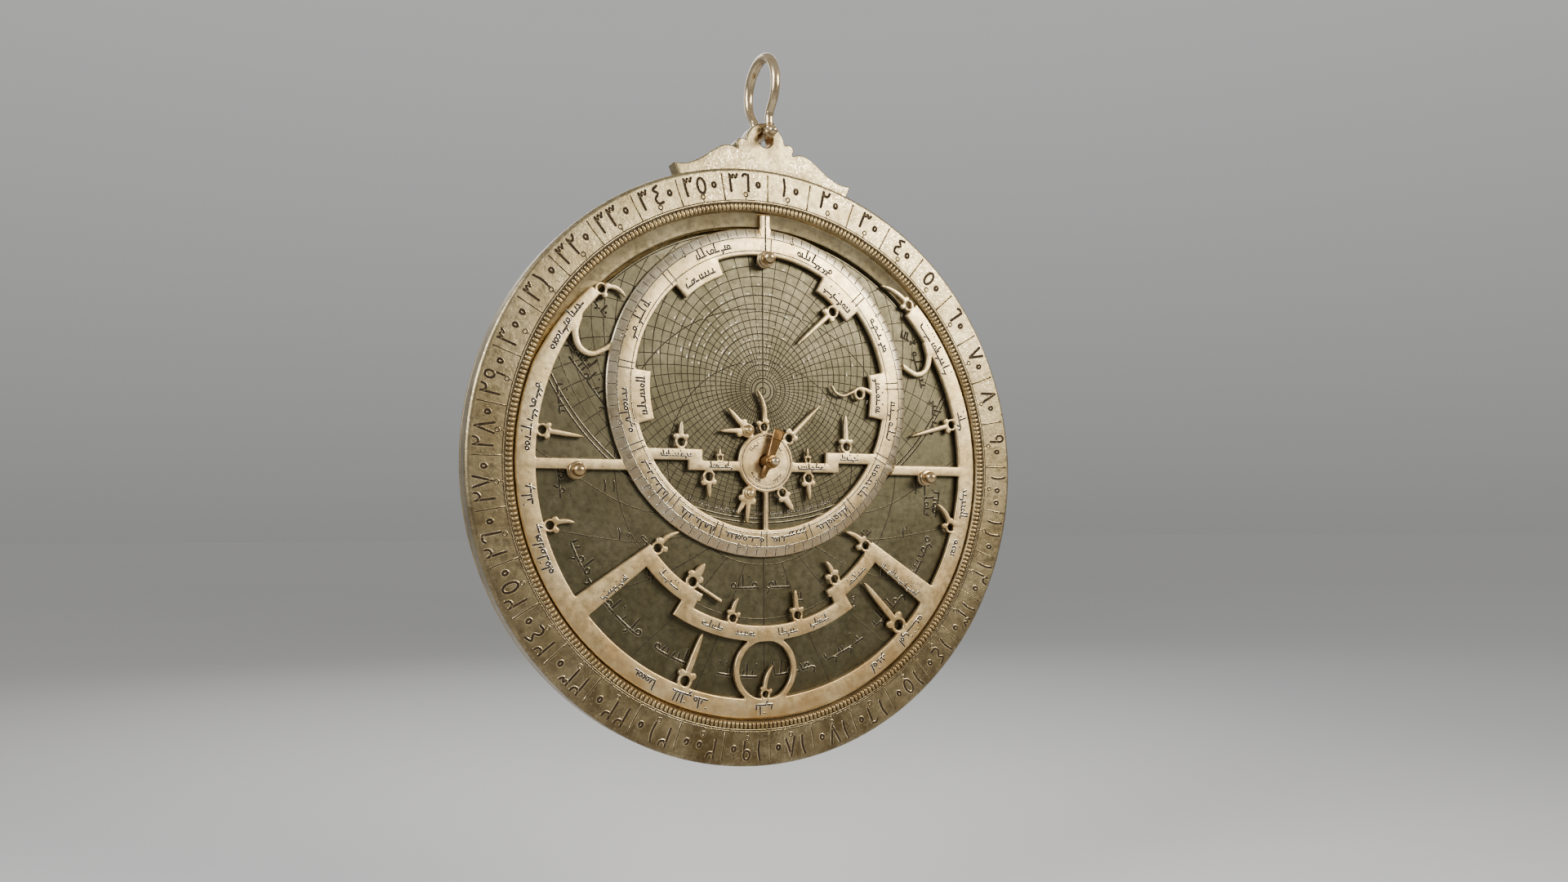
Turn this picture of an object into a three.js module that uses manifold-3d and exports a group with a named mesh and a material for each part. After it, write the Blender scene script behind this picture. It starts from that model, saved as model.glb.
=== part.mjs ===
// A hanging planispheric astrolabe in brass, in millimetres, +Z up.
// The disc stands in the XZ plane, and its front face looks along -Y.
// Inside this file the disc's centre on the limb's front face is (0, 0, 0), and y grows towards the back.
// The whole object is moved at the end, so that the exported origin is the point of the shackle that hangs.
// Angles are counted in degrees from the top of the disc, clockwise as the front is seen.
import * as THREE from "three";
import { mergeVertices } from "three/addons/utils/BufferGeometryUtils.js";
import Module from "manifold-3d";

const wasm = await Module();
wasm.setup();

// ---- Driving dimensions ----

const LIMB_RADIUS = 77.5;
const LIMB_BORE = 66.2; // inner radius of the graduated ring, around the rete
const LEDGE_BORE = 62.3; // inner radius of the ledge that carries the rete's rim
const LEDGE_FRONT = 2.5; // y of the ledge
const LIMB_EDGE = 1.1; // rounding of the limb's front outer edge
const RING_BACK = 5.7;
const MATER_FRONT = 5.9;
const MATER_BACK = 7.4;
const JOINT_GAP = 0.25; // between pieces that are brazed together

const PLATE_RADIUS = 61.4;
const PLATE_FRONTS = [3.0, 3.95, 4.9];
const PLATE_THICKNESS = 0.8;
const LUG_WIDTH = 3.4;
const LUG_REACH = 63.8; // radius that the plates' lugs reach to
const LUG_GAP = 0.3;

const RETE_FRONT = 1.0;
const RETE_BACK = 2.3;
const RIM_OUTER = 65.6;
const RIM_INNER = 60.6;
const RIM_START = 46; // the rim runs clockwise from here ...
const RIM_END = 312; // ... to here, and is open at the top
const RIM_TAPER = 290; // from here to its end, the rim narrows
const RIM_END_OUTER = 63.5;
const ECLIPTIC_Z = 18.6; // height of the ecliptic ring's centre above the disc's
const ECLIPTIC_OUTER = 43.3;
const ECLIPTIC_INNER = 36.1;
const TAB_INNER = 31.9; // the label tabs reach in to this radius about the ecliptic's centre
const BAR_HEIGHT = 2.7; // height of the horizontal bars
const HUB_RADIUS = 7.85;
const ARC_RADII = [38.0, 42.1, 46.2]; // the lower frame's two arcs lie between these
const STEP_IN = 28.6; // angles from the bottom at which the arcs step, and of the frame's corner
const STEP_OUT = 33.8;
const FRAME_CORNER = 56.6;
const HOOP = { x: -0.3, z: -53.4, inner: 7.4, outer: 8.9 };
const OVERLAP = 0.3; // how far joined outlines run into each other

const PIN_RADIUS = 1.8;
const PIN_GAP = 0.15;
const PIN_TIP_Y = -4.3; // centre of the ball at the front end
const PIN_TIP_RADIUS = 1.2;
const PIN_SHOULDER_Y = -2.9;
const WEDGE_ANGLE = 19; // lean of the wedge from the vertical
const WEDGE_BACK = 0.75;
const WEDGE_FROM = -4.2; // thin end and thick end, along the wedge
const WEDGE_TO = 8.8;
const WEDGE_HEAD_FROM = 5.4; // from here the underside is raised clear of the studs
const WEDGE_HEAD_BACK = -1.15;
const SLOT_HALF_WIDTH = 1.25;
const SLOT_FRONT = -2.1;

const ALIDADE_FRONT = 7.65;
const ALIDADE_BACK = 9.45;
const ALIDADE_REACH = 73.5;
const ALIDADE_HALF_WIDTH = 4.2;
const ALIDADE_ANGLE = 32; // lean of the rule at rest
const VANE_AT = 52; // distance of each vane from the centre
const VANE_THICKNESS = 1.7;
const VANE_TOP = 22.6;
const VANE_HALF_WIDTH = 6;
const TENON_HALF_WIDTH = 2.6;
const WASHER = { front: 9.55, back: 10.15, radius: 4.6 };
const PIN_HEAD = { front: 10.25, back: 12.2, radius: 3.7 };

const THRONE_FRONT = 0.7;
const THRONE_BACK = 5.3;
const THRONE_HOLE = { z: 86.0, radius: 2.25 };
const SHACKLE_Y = (THRONE_FRONT + THRONE_BACK) / 2;
const WIRE_RADIUS = 1.2;
const LOOP_RADIUS = 8.5;
const LOOP_Z = 100;
const LOOP_TURN = 135; // the round part runs this far down each side from the top
const LEG_OFFSET = 4.5;
const SHACKLE_PIN = { z: 87.1, radius: 0.9, ball: 1.3 };
const EYE = { radius: 1.45, bore: 1.0, thickness: 2.4 };
const HANG_Z = LOOP_Z + LOOP_RADIUS - WIRE_RADIUS; // the loop's inner top

const FINE = 96; // segments in a full turn of the large rings
const ROUND = 24; // of small round pieces
const SMALL = 10; // and of the pointers' rings

// ---- Materials ----

function metal(color, roughness) {
  return new THREE.MeshStandardMaterial({ color, roughness, metalness: 0.9 });
}

const LIMB_BRASS = metal(0xa8956a, 0.42);
const PLATE_BRASS = metal(0x6f6750, 0.5);
const RETE_BRASS = metal(0xd2c3a0, 0.38);
const POLISHED_BRASS = metal(0xc9bfa5, 0.22);
const WEDGE_BRONZE = metal(0x8a6238, 0.35);

// ---- Solids ----

function solid(geometry) {
  geometry.deleteAttribute("normal");
  geometry.deleteAttribute("uv");
  const merged = mergeVertices(geometry, 1e-4);
  const made = new wasm.Manifold(
    new wasm.Mesh({
      numProp: 3,
      vertProperties: new Float32Array(merged.attributes.position.array),
      triVerts: new Uint32Array(merged.index.array),
    }),
  );
  if (made.volume() < 0) throw new Error("a solid's faces point inwards");
  return made;
}

function mesh(name, body, material) {
  const { vertProperties, triVerts } = body.getMesh();
  const geometry = new THREE.BufferGeometry();
  geometry.setAttribute("position", new THREE.BufferAttribute(vertProperties, 3));
  geometry.setIndex(new THREE.BufferAttribute(triVerts, 1));
  geometry.computeVertexNormals();
  const made = new THREE.Mesh(geometry, material);
  made.name = name;
  return made;
}

function joined(bodies) {
  return bodies.reduce((whole, body) => whole.add(body));
}

function cut(body, holes) {
  return holes.reduce((left, hole) => left.subtract(hole), body);
}

// A flat piece: an outline in X and Z, from y = front to y = back.
function slab(outline, front, back) {
  const depth = back - front;
  const geometry = new THREE.ExtrudeGeometry(new THREE.Shape(outline), {
    depth,
    bevelEnabled: false,
  });
  geometry.rotateX(Math.PI / 2).translate(0, back, 0);
  return solid(geometry);
}

// A turned piece about the Y axis: its profile is [radius, y] pairs, with the solid on their left
// when radius runs to the right and y runs up.
function turned(profile, segments) {
  const points = profile.map(([radius, y]) => new THREE.Vector2(radius, y));
  return solid(new THREE.LatheGeometry(points, segments));
}

// ---- Outlines ----

function radians(degrees) {
  return (degrees * Math.PI) / 180;
}

function polar(radius, angle, centre = [0, 0]) {
  const turn = radians(angle);
  return new THREE.Vector2(
    centre[0] + radius * Math.sin(turn),
    centre[1] + radius * Math.cos(turn),
  );
}

function arc(radius, from, to, centre, step = 5) {
  const count = Math.max(1, Math.ceil(Math.abs(to - from) / step));
  return Array.from({ length: count + 1 }, (_, i) =>
    polar(radius, from + ((to - from) * i) / count, centre),
  );
}

function circle(radius, centre, segments) {
  return arc(radius, 360, 0, centre, 360 / segments).slice(0, -1);
}

function discSlab(radius, centre, segments, front, back) {
  return slab(circle(radius, centre, segments), front, back);
}

function box(xFrom, xTo, zFrom, zTo, front, back) {
  const corners = [
    [xFrom, zFrom],
    [xTo, zFrom],
    [xTo, zTo],
    [xFrom, zTo],
  ];
  return slab(
    corners.map(([x, z]) => new THREE.Vector2(x, z)),
    front,
    back,
  );
}

// A band of constant width between two angles of a circle.
function bandOutline(inner, outer, from, to, centre) {
  return [...arc(outer, to, from, centre), ...arc(inner, from, to, centre)];
}

// A flat strip along a smooth line through points, with its width at each end.
function strip(points, startWidth, endWidth, steps) {
  const line = new THREE.SplineCurve(points.map(([x, z]) => new THREE.Vector2(x, z)));
  const left = [];
  const right = [];
  for (let i = 0; i <= steps; i++) {
    const share = i / steps;
    const at = line.getPoint(share);
    const along = line.getTangent(share);
    const half = (startWidth + (endWidth - startWidth) * share) / 2;
    const side = new THREE.Vector2(-along.y, along.x).multiplyScalar(half);
    left.push(at.clone().add(side));
    right.push(at.clone().sub(side));
  }
  return [...right, ...left.reverse()];
}

// ---- Mater: limb, back plate, rivets, throne ----

const RIVET = { count: 8, at: 72, radius: 1.2, tip: 4.2, bottom: 4.0, gap: 0.15 };
const RIVET_SIDES = 10;

function rivetCentre(index) {
  const spot = polar(RIVET.at, (360 * (index + 0.5)) / RIVET.count);
  return [spot.x, spot.y];
}

function rivetHoles(front, back) {
  return Array.from({ length: RIVET.count }, (_, i) =>
    discSlab(RIVET.radius + RIVET.gap, rivetCentre(i), RIVET_SIDES, front, back),
  );
}

function limbRing() {
  const ring = turned(
    [
      [LIMB_BORE, 0],
      [LIMB_BORE, LEDGE_FRONT],
      [LEDGE_BORE, LEDGE_FRONT],
      [LEDGE_BORE, RING_BACK],
      [LIMB_RADIUS, RING_BACK],
      [LIMB_RADIUS, LIMB_EDGE],
      [LIMB_RADIUS - 0.35 * LIMB_EDGE, 0.35 * LIMB_EDGE],
      [LIMB_RADIUS - LIMB_EDGE, 0],
      [LIMB_BORE, 0],
    ].reverse(),
    FINE,
  );
  const notch = box(
    -LUG_WIDTH / 2 - LUG_GAP,
    LUG_WIDTH / 2 + LUG_GAP,
    -LUG_REACH - LUG_GAP,
    -LEDGE_BORE + 1,
    LEDGE_FRONT - 1,
    RING_BACK + 1,
  );
  return cut(ring, [notch, ...rivetHoles(RIVET.bottom, RING_BACK + 1)]);
}

function materBack() {
  const plate = discSlab(LIMB_RADIUS, [0, 0], FINE, MATER_FRONT, MATER_BACK);
  const bore = discSlab(PIN_RADIUS + PIN_GAP, [0, 0], ROUND, 0, MATER_BACK + 1);
  return cut(plate, [bore, ...rivetHoles(MATER_FRONT - 1, MATER_BACK + 1)]);
}

function limbRivet(index) {
  return discSlab(RIVET.radius, rivetCentre(index), RIVET_SIDES, RIVET.tip, MATER_BACK);
}

function throne() {
  const shoulder = new THREE.SplineCurve(
    [
      [25.8, 76.4],
      [22.3, 76.8],
      [18.6, 78.6],
      [15.0, 81.3],
      [12.3, 82.9],
      [10.2, 83.2],
      [8.2, 82.7],
    ].map(([x, z]) => new THREE.Vector2(x, z)),
  ).getPoints(18);
  const seat = LIMB_RADIUS + JOINT_GAP;
  const seatEnd = 18.5; // angle at which the throne's foot ends on the limb
  const mirrored = shoulder.map((p) => new THREE.Vector2(-p.x, p.y)).reverse();
  const body = [...arc(seat, -seatEnd, seatEnd), ...shoulder, ...mirrored];
  const lobes = [
    discSlab(5.7, [0, 84.7], 48, THRONE_FRONT, THRONE_BACK),
    discSlab(1.65, [6.75, 83.9], 20, THRONE_FRONT, THRONE_BACK),
    discSlab(1.65, [-6.75, 83.9], 20, THRONE_FRONT, THRONE_BACK),
  ];
  const whole = joined([slab(body, THRONE_FRONT, THRONE_BACK), ...lobes]);
  const hole = [0, THRONE_HOLE.z];
  return cut(whole, [discSlab(THRONE_HOLE.radius, hole, ROUND, -1, MATER_BACK)]);
}

// ---- Plates ----

function plate(front) {
  const back = front + PLATE_THICKNESS;
  const disc = discSlab(PLATE_RADIUS, [0, 0], FINE, front, back);
  const half = LUG_WIDTH / 2;
  const lug = box(-half, half, -LUG_REACH, -PLATE_RADIUS + 1, front, back);
  const bore = discSlab(PIN_RADIUS + PIN_GAP, [0, 0], ROUND, 0, MATER_BACK);
  return cut(disc.add(lug), [bore]);
}

// ---- Rete ----

function reteSlab(outline) {
  return slab(outline, RETE_FRONT, RETE_BACK);
}

function reteDisc(radius, centre, segments) {
  return discSlab(radius, centre, segments, RETE_FRONT, RETE_BACK);
}

function reteBox(xFrom, xTo, zFrom, zTo) {
  return box(xFrom, xTo, zFrom, zTo, RETE_FRONT, RETE_BACK);
}

function rim() {
  const outline = [
    polar(RIM_END_OUTER, RIM_END),
    ...arc(RIM_OUTER, RIM_TAPER, RIM_START),
    ...arc(RIM_INNER, RIM_START, RIM_END),
  ];
  return reteSlab(outline);
}

function ecliptic() {
  const centre = [0, ECLIPTIC_Z];
  const ring = cut(reteDisc(ECLIPTIC_OUTER, centre, 72), [
    discSlab(ECLIPTIC_INNER, centre, 72, 0, RETE_BACK + 1),
  ]);
  const tabs = [
    [-44, -22],
    [28.6, 50.3],
    [79, 99.8],
    [-105.4, -83.5],
  ].map(([from, to]) =>
    reteSlab(bandOutline(TAB_INNER, ECLIPTIC_INNER + OVERLAP, from, to, centre)),
  );
  const index = reteBox(-1.45, 1.45, ECLIPTIC_Z + ECLIPTIC_OUTER - 2, RIM_OUTER);
  return joined([ring, ...tabs, index]);
}

function bars() {
  const rimX = RIM_INNER + OVERLAP;
  const eclipticX = 37.5;
  const stepInner = 17.8;
  const stepOuter = 21.7;
  const ringX = 33;
  return joined(
    [-1, 1].flatMap((side) =>
      [
        [eclipticX, rimX, -BAR_HEIGHT, 0],
        [stepInner, ringX, 0.1, 3.1],
        [HUB_RADIUS - 0.5, stepOuter, -2.4, 0.2],
      ].map(([near, far, low, high]) =>
        side > 0
          ? reteBox(near, far, low, high)
          : reteBox(-far, -near, low, high),
      ),
    ),
  );
}

function lowerFrame() {
  const [inner, middle, outer] = ARC_RADII;
  const low = bandOutline(middle, outer, 180 - STEP_OUT, 180 + STEP_OUT);
  const sides = [-1, 1].flatMap((side) => {
    const angles = [180 - side * STEP_IN, 180 - side * FRAME_CORNER];
    const [from, to] = angles.sort((a, b) => a - b);
    const strut = [
      [side * 31.8, -20.9],
      [side * 32.9, -26.6],
      [side * 47.6, -38.1],
      [side * 50.9, -33.3],
    ].map(([x, z]) => new THREE.Vector2(x, z));
    return [
      reteSlab(bandOutline(inner, middle + OVERLAP, from, to)),
      reteSlab(side > 0 ? strut.reverse() : strut),
    ];
  });
  return joined([reteSlab(low), ...sides]);
}

function hoop() {
  const centre = [HOOP.x, HOOP.z];
  return cut(reteDisc(HOOP.outer, centre, 30), [
    discSlab(HOOP.inner, centre, 30, 0, RETE_BACK + 1),
  ]);
}

function hooks() {
  const line = [
    [50.3, 34.4],
    [51.2, 30.5],
    [50.0, 27.0],
    [47.3, 25.7],
    [44.6, 26.6],
    [41.4, 28.6],
  ];
  const left = line.map(([x, z]) => [-x, z]);
  return joined([
    reteSlab(strip(line, 1.7, 1.3, 10).reverse()),
    reteSlab(strip(left, 1.7, 1.3, 10).reverse()),
  ]);
}

// A star pointer: a small ring, two lobes in front of it, and a blade that ends in a point.
// bend moves the middle of the blade sideways, positive to the left of the way it points.
const POINTERS = [
  { ring: [24.15, 4.7], size: 1.7, tip: [24.05, 13.3] },
  { ring: [-23.6, 4.7], size: 1.65, tip: [-23.5, 9.9] },
  { ring: [-16.05, -3.95], size: 1.7, tip: [-15.85, -9.3] },
  { ring: [12.45, -3.95], size: 1.65, tip: [12.9, -9.7] },
  { ring: [-12.95, 0.85], size: 0.85, tip: [-12.95, 3.3] },
  { ring: [12.35, 0.85], size: 0.85, tip: [12.35, 4.1] },
  { ring: [-0.5, 9.2], size: 1.5, tip: [-2.3, 18.9], bend: -1.1 },
  { ring: [6.75, 6.5], size: 1.7, tip: [16.2, 15.6] },
  { ring: [4.75, -7.9], size: 1.55, tip: [7.9, -12.4], wide: 1.2 },
  { ring: [20.2, 41.3], size: 1.8, tip: [9.5, 31.7] },
  { ring: [-44.75, 42.0], size: 1.6, tip: [-38.5, 40.4], bend: 1.5 },
  { ring: [44.6, 45.1], size: 1.6, tip: [35.8, 49.9], bend: -1.0 },
  { ring: [-59.1, 6.6], size: 1.65, tip: [-48.8, 5.2] },
  { ring: [-57.0, -16.2], size: 1.65, tip: [-50.9, -15.6], bend: 0.7 },
  { ring: [58.4, 11.9], size: 1.7, tip: [45.0, 8.3] },
  { ring: [57.5, -17.1], size: 1.65, tip: [53.2, -10.6], bend: -1.0 },
  { ring: [-29.8, -21.9], size: 1.7, tip: [-24.1, -18.0], bend: 0.8 },
  { ring: [29.8, -21.9], size: 1.7, tip: [23.8, -18.2], bend: -0.7 },
  { ring: [-20.5, -30.4], size: 1.85, tip: [-17.3, -26.1], wide: 1.3 },
  { ring: [20.1, -30.7], size: 1.65, tip: [17.6, -26.0], bend: -0.5 },
  { ring: [-9.5, -39.9], size: 1.5, tip: [-7.9, -34.8], bend: 0.5 },
  { ring: [9.0, -39.8], size: 1.6, tip: [8.4, -33.2] },
  { ring: [-22.5, -54.9], size: 2.0, tip: [-17.7, -43.3] },
  { ring: [40.0, -43.6], size: 2.3, tip: [29.2, -31.8] },
  { ring: [-0.4, -59.6], size: 1.35, tip: [1.9, -52.2], bend: 0.8 },
];

// The two studs sit in pointers of their own, each with two blades.
const STUDS = [
  { name: "stud_upper", at: [-5.2, 8.2], tips: [[-10.6, 13.8], [-12.9, 7.9]] },
  { name: "stud_lower", at: [-4.75, -8.1], tips: [[-8.1, -13.4], [-5.4, -15.7]] },
];
const STUD = { collar: 1.7, shank: 0.6, dome: 1.35 };

function blade(from, tip, bend, width, steps) {
  const start = new THREE.Vector2(...from);
  const end = new THREE.Vector2(...tip);
  const along = end.clone().sub(start);
  const side = new THREE.Vector2(-along.y, along.x).normalize();
  const middle = start.clone().lerp(end, 0.5).addScaledVector(side, 2 * bend);
  const line = new THREE.QuadraticBezierCurve(start, middle, end);
  const left = [];
  const right = [];
  for (let i = 0; i < steps; i++) {
    const share = i / steps;
    const at = line.getPoint(share);
    const way = line.getTangent(share);
    const half = (width / 2) * Math.sqrt(1 - share ** 3);
    const across = new THREE.Vector2(-way.y, way.x).multiplyScalar(half);
    left.push(at.clone().add(across));
    right.push(at.clone().sub(across));
  }
  return reteSlab([...right, end, ...left.reverse()]);
}

function lobesOf(centre, tip, size) {
  const way = new THREE.Vector2(tip[0] - centre[0], tip[1] - centre[1]).normalize();
  return [-1, 1].map((side) => {
    const x = centre[0] + size * (0.85 * way.x - side * 0.8 * way.y);
    const z = centre[1] + size * (0.85 * way.y + side * 0.8 * way.x);
    return reteDisc(0.46 * size, [x, z], 6);
  });
}

function pointer({ ring, size, tip, bend = 0, wide = 0.8 }) {
  return joined([
    reteDisc(size, ring, SMALL),
    ...lobesOf(ring, tip, size),
    blade(ring, tip, bend, wide * size, bend ? 5 : 3),
  ]);
}

function studPointer({ at, tips }) {
  const middle = [(tips[0][0] + tips[1][0]) / 2, (tips[0][1] + tips[1][1]) / 2];
  return joined([
    reteDisc(STUD.collar + 0.2, at, SMALL),
    ...lobesOf(at, middle, 2.0),
    ...tips.map((tip) => blade(at, tip, 0, 1.4, 3)),
  ]);
}

// A serpent pointer on the right-hand tab, coiled once round its ring.
const SERPENT_RING = { x: 28.4, z: 19.3, size: 1.75 };

function serpent() {
  const line = [
    [32.6, 19.4],
    [30.6, 20.5],
    [28.2, 20.8],
    [26.0, 19.6],
    [23.4, 18.6],
    [21.2, 19.3],
    [19.9, 21.0],
  ];
  return joined([
    reteSlab(strip(line, 1.2, 0.5, 12).reverse()),
    reteDisc(SERPENT_RING.size, [SERPENT_RING.x, SERPENT_RING.z], SMALL),
  ]);
}

// The long blunt blade beside the lower left pointer.
function bluntBlade() {
  return reteSlab(strip([[-20.3, -30.6], [-12.9, -35.4]], 0.9, 0.9, 1).reverse());
}

const KNOBS = [
  { name: "knob_left", at: [-50.7, -3.0] },
  { name: "knob_right", at: [49.3, -3.3] },
  { name: "knob_top", at: [0, 53.6] },
];
const KNOB = { collar: 2.15, shank: 0.7, ball: 1.65, ballY: -1.35 };
const SHANK_GAP = 0.12;

function knobSeats() {
  return joined(KNOBS.map(({ at }) => reteDisc(KNOB.collar + 0.1, at, 16)));
}

function reteHoles() {
  const through = (radius, centre, segments) =>
    discSlab(radius, centre, segments, 0, RETE_BACK + 1);
  return [
    through(PIN_RADIUS + PIN_GAP, [0, 0], ROUND),
    through(1.0, [SERPENT_RING.x, SERPENT_RING.z], 8),
    ...POINTERS.map(({ ring, size }) => through(0.55 * size, ring, 6)),
    ...KNOBS.map(({ at }) => through(KNOB.shank + SHANK_GAP, at, SMALL)),
    ...STUDS.map(({ at }) => through(STUD.shank + SHANK_GAP, at, SMALL)),
  ];
}

function rete() {
  const body = joined([
    rim(),
    ecliptic(),
    bars(),
    lowerFrame(),
    hoop(),
    hooks(),
    reteDisc(HUB_RADIUS, [0, 0], 48),
    reteBox(-0.6, 0.6, ECLIPTIC_Z - ECLIPTIC_INNER - OVERLAP, -HUB_RADIUS + 0.5),
    knobSeats(),
    serpent(),
    bluntBlade(),
    ...POINTERS.map(pointer),
    ...STUDS.map(studPointer),
  ]);
  return cut(body, reteHoles());
}

// Points of a circle's arc in a turned piece's profile, between two angles from the -Y axis.
function profileArc(radius, y, from, to, steps) {
  return Array.from({ length: steps + 1 }, (_, i) => {
    const turn = radians(from + ((to - from) * i) / steps);
    return [Math.max(0, radius * Math.sin(turn)), y - radius * Math.cos(turn)];
  });
}

function knob([x, z]) {
  const seat = RETE_FRONT - 0.1;
  const collarFront = seat - 0.95;
  const profile = [
    ...profileArc(KNOB.ball, KNOB.ballY, 0, 140, 6),
    [KNOB.collar, collarFront + 0.2],
    [KNOB.collar, seat],
    [KNOB.shank, seat],
    [KNOB.shank, RETE_BACK],
    [0, RETE_BACK],
  ];
  return turned(profile, 18).translate([x, 0, z]);
}

function stud([x, z]) {
  const seat = RETE_FRONT - 0.1;
  const profile = [
    ...profileArc(STUD.dome, seat - 0.45, 0, 90, 4),
    [STUD.collar, seat - 0.3],
    [STUD.collar, seat],
    [STUD.shank, seat],
    [STUD.shank, RETE_BACK],
    [0, RETE_BACK],
  ];
  return turned(profile, 16).translate([x, 0, z]);
}

// ---- Centre pin, wedge and washer ----

function centrePin() {
  const profile = [
    ...profileArc(PIN_TIP_RADIUS, PIN_TIP_Y, 0, 130, 6),
    [0.75, PIN_SHOULDER_Y],
    [PIN_RADIUS - 0.3, PIN_SHOULDER_Y],
    [PIN_RADIUS, PIN_SHOULDER_Y + 0.3],
    [PIN_RADIUS, PIN_HEAD.front],
    [PIN_HEAD.radius, PIN_HEAD.front],
    [PIN_HEAD.radius, PIN_HEAD.back - 1.1],
    [PIN_HEAD.radius * 0.72, PIN_HEAD.back - 0.3],
    [0, PIN_HEAD.back],
  ];
  const slot = box(
    -SLOT_HALF_WIDTH,
    SLOT_HALF_WIDTH,
    -PIN_RADIUS - 1,
    PIN_RADIUS + 1,
    SLOT_FRONT,
    RETE_FRONT - 0.1,
  );
  return cut(turned(profile, ROUND), [slot]);
}

function wedge() {
  const thinHalf = 0.65;
  const thickHalf = 1.7;
  const plan = [
    [-thinHalf, WEDGE_FROM],
    [thinHalf, WEDGE_FROM],
    [thickHalf, WEDGE_TO],
    [-thickHalf, WEDGE_TO],
  ].map(([x, z]) => new THREE.Vector2(x, z));
  // The side view, drawn in X and Z and then turned so that it is seen along X.
  const side = [
    [-WEDGE_BACK, WEDGE_FROM],
    [0.75, WEDGE_FROM],
    [1.95, PIN_RADIUS],
    [2.2, WEDGE_HEAD_FROM],
    [2.1, WEDGE_TO - 1.6],
    [1.7, WEDGE_TO],
    [-WEDGE_HEAD_BACK, WEDGE_TO],
    [-WEDGE_HEAD_BACK, WEDGE_HEAD_FROM + 0.9],
    [-WEDGE_BACK, WEDGE_HEAD_FROM - 0.6],
  ].map(([x, z]) => new THREE.Vector2(x, z));
  const sideSolid = slab(side.reverse(), -3, 3).rotate([0, 0, -90]);
  return slab(plan, -4, 2).intersect(sideSolid);
}

function backWasher() {
  const disc = discSlab(WASHER.radius, [0, 0], ROUND, WASHER.front, WASHER.back);
  const bore = discSlab(PIN_RADIUS + PIN_GAP, [0, 0], ROUND, 0, WASHER.back + 1);
  return cut(disc, [bore]);
}

// ---- Alidade ----

function alidade() {
  const half = ALIDADE_HALF_WIDTH;
  const shoulder = ALIDADE_REACH - 11;
  const arm = [
    [half, shoulder],
    [half * 0.82, shoulder + 2.2],
    [half * 0.45, shoulder + 5],
    [half * 0.16, shoulder + 8.5],
    [0, ALIDADE_REACH],
  ];
  const turns = [
    ...arm,
    ...arm.slice(0, -1).reverse().map(([x, z]) => [-x, z]),
    ...arm.map(([x, z]) => [-x, -z]),
    ...arm.slice(0, -1).reverse().map(([x, z]) => [x, -z]),
  ];
  const outline = turns.map(([x, z]) => new THREE.Vector2(x, z));
  const rule = slab(outline, ALIDADE_FRONT, ALIDADE_BACK);
  const boss = discSlab(9.5, [0, 0], 48, ALIDADE_FRONT, ALIDADE_BACK);
  const bore = discSlab(PIN_RADIUS + PIN_GAP, [0, 0], ROUND, 0, ALIDADE_BACK + 1);
  const slots = [-1, 1].map((end) =>
    box(
      -TENON_HALF_WIDTH - SHANK_GAP,
      TENON_HALF_WIDTH + SHANK_GAP,
      end * VANE_AT - VANE_THICKNESS / 2 - SHANK_GAP,
      end * VANE_AT + VANE_THICKNESS / 2 + SHANK_GAP,
      0,
      ALIDADE_BACK + 1,
    ),
  );
  return cut(rule.add(boss), [bore, ...slots]);
}

// A vane stands out from the rule's back. It is drawn face on, and then stood up at its place.
function vane(end) {
  const foot = ALIDADE_BACK + 0.1;
  const half = VANE_HALF_WIDTH;
  const crown = 4.4;
  const outline = [
    [-TENON_HALF_WIDTH, ALIDADE_FRONT],
    [TENON_HALF_WIDTH, ALIDADE_FRONT],
    [TENON_HALF_WIDTH, foot],
    [half, foot],
    [half, VANE_TOP - crown],
    [half - 1.6, VANE_TOP - crown + 0.9],
    [half - 3.1, VANE_TOP - 1.6],
    [half - 4.6, VANE_TOP - 0.3],
  ];
  const mirrored = outline.map(([x, y]) => [-x, y]).reverse();
  const points = [...outline.slice(1), ...mirrored.slice(0, -1)];
  const face = points.map(([x, y]) => new THREE.Vector2(x, y));
  const board = slab(face, -VANE_THICKNESS / 2, VANE_THICKNESS / 2);
  const sights = [
    discSlab(0.5, [0, 18.6], 12, -2, 2),
    discSlab(1.4, [0, 14.0], 16, -2, 2),
  ];
  return cut(board, sights)
    .rotate([90, 0, 0])
    .mirror([0, 1, 0])
    .translate([0, 0, end * VANE_AT]);
}

// ---- Shackle ----

function loopLine() {
  const side = (sign) => [
    [sign * LEG_OFFSET, SHACKLE_PIN.z],
    [sign * LEG_OFFSET, SHACKLE_PIN.z + 2.2],
    [sign * LEG_OFFSET, SHACKLE_PIN.z + 4.2],
    [sign * (LEG_OFFSET + 0.5), SHACKLE_PIN.z + 5.8],
  ];
  const round = arc(LOOP_RADIUS, -LOOP_TURN, LOOP_TURN, [0, LOOP_Z], 15);
  const points = [...side(-1), ...round.map((p) => [p.x, p.y]), ...side(1).reverse()];
  return new THREE.CatmullRomCurve3(
    points.map(([y, z]) => new THREE.Vector3(0, SHACKLE_Y + y, z)),
    false,
    "centripetal",
  );
}

function shackleLoop() {
  const section = new THREE.Shape(circle(WIRE_RADIUS, [0, 0], 10).reverse());
  const wire = solid(
    new THREE.ExtrudeGeometry(section, { steps: 44, extrudePath: loopLine() }),
  );
  const eyes = [-1, 1].map((sign) => {
    const y = SHACKLE_Y + sign * LEG_OFFSET;
    const half = EYE.thickness / 2;
    return discSlab(EYE.radius, [0, SHACKLE_PIN.z], ROUND, y - half, y + half);
  });
  const bore = discSlab(EYE.bore, [0, SHACKLE_PIN.z], ROUND, -20, 30);
  return cut(joined([wire, ...eyes]), [bore]);
}

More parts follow.
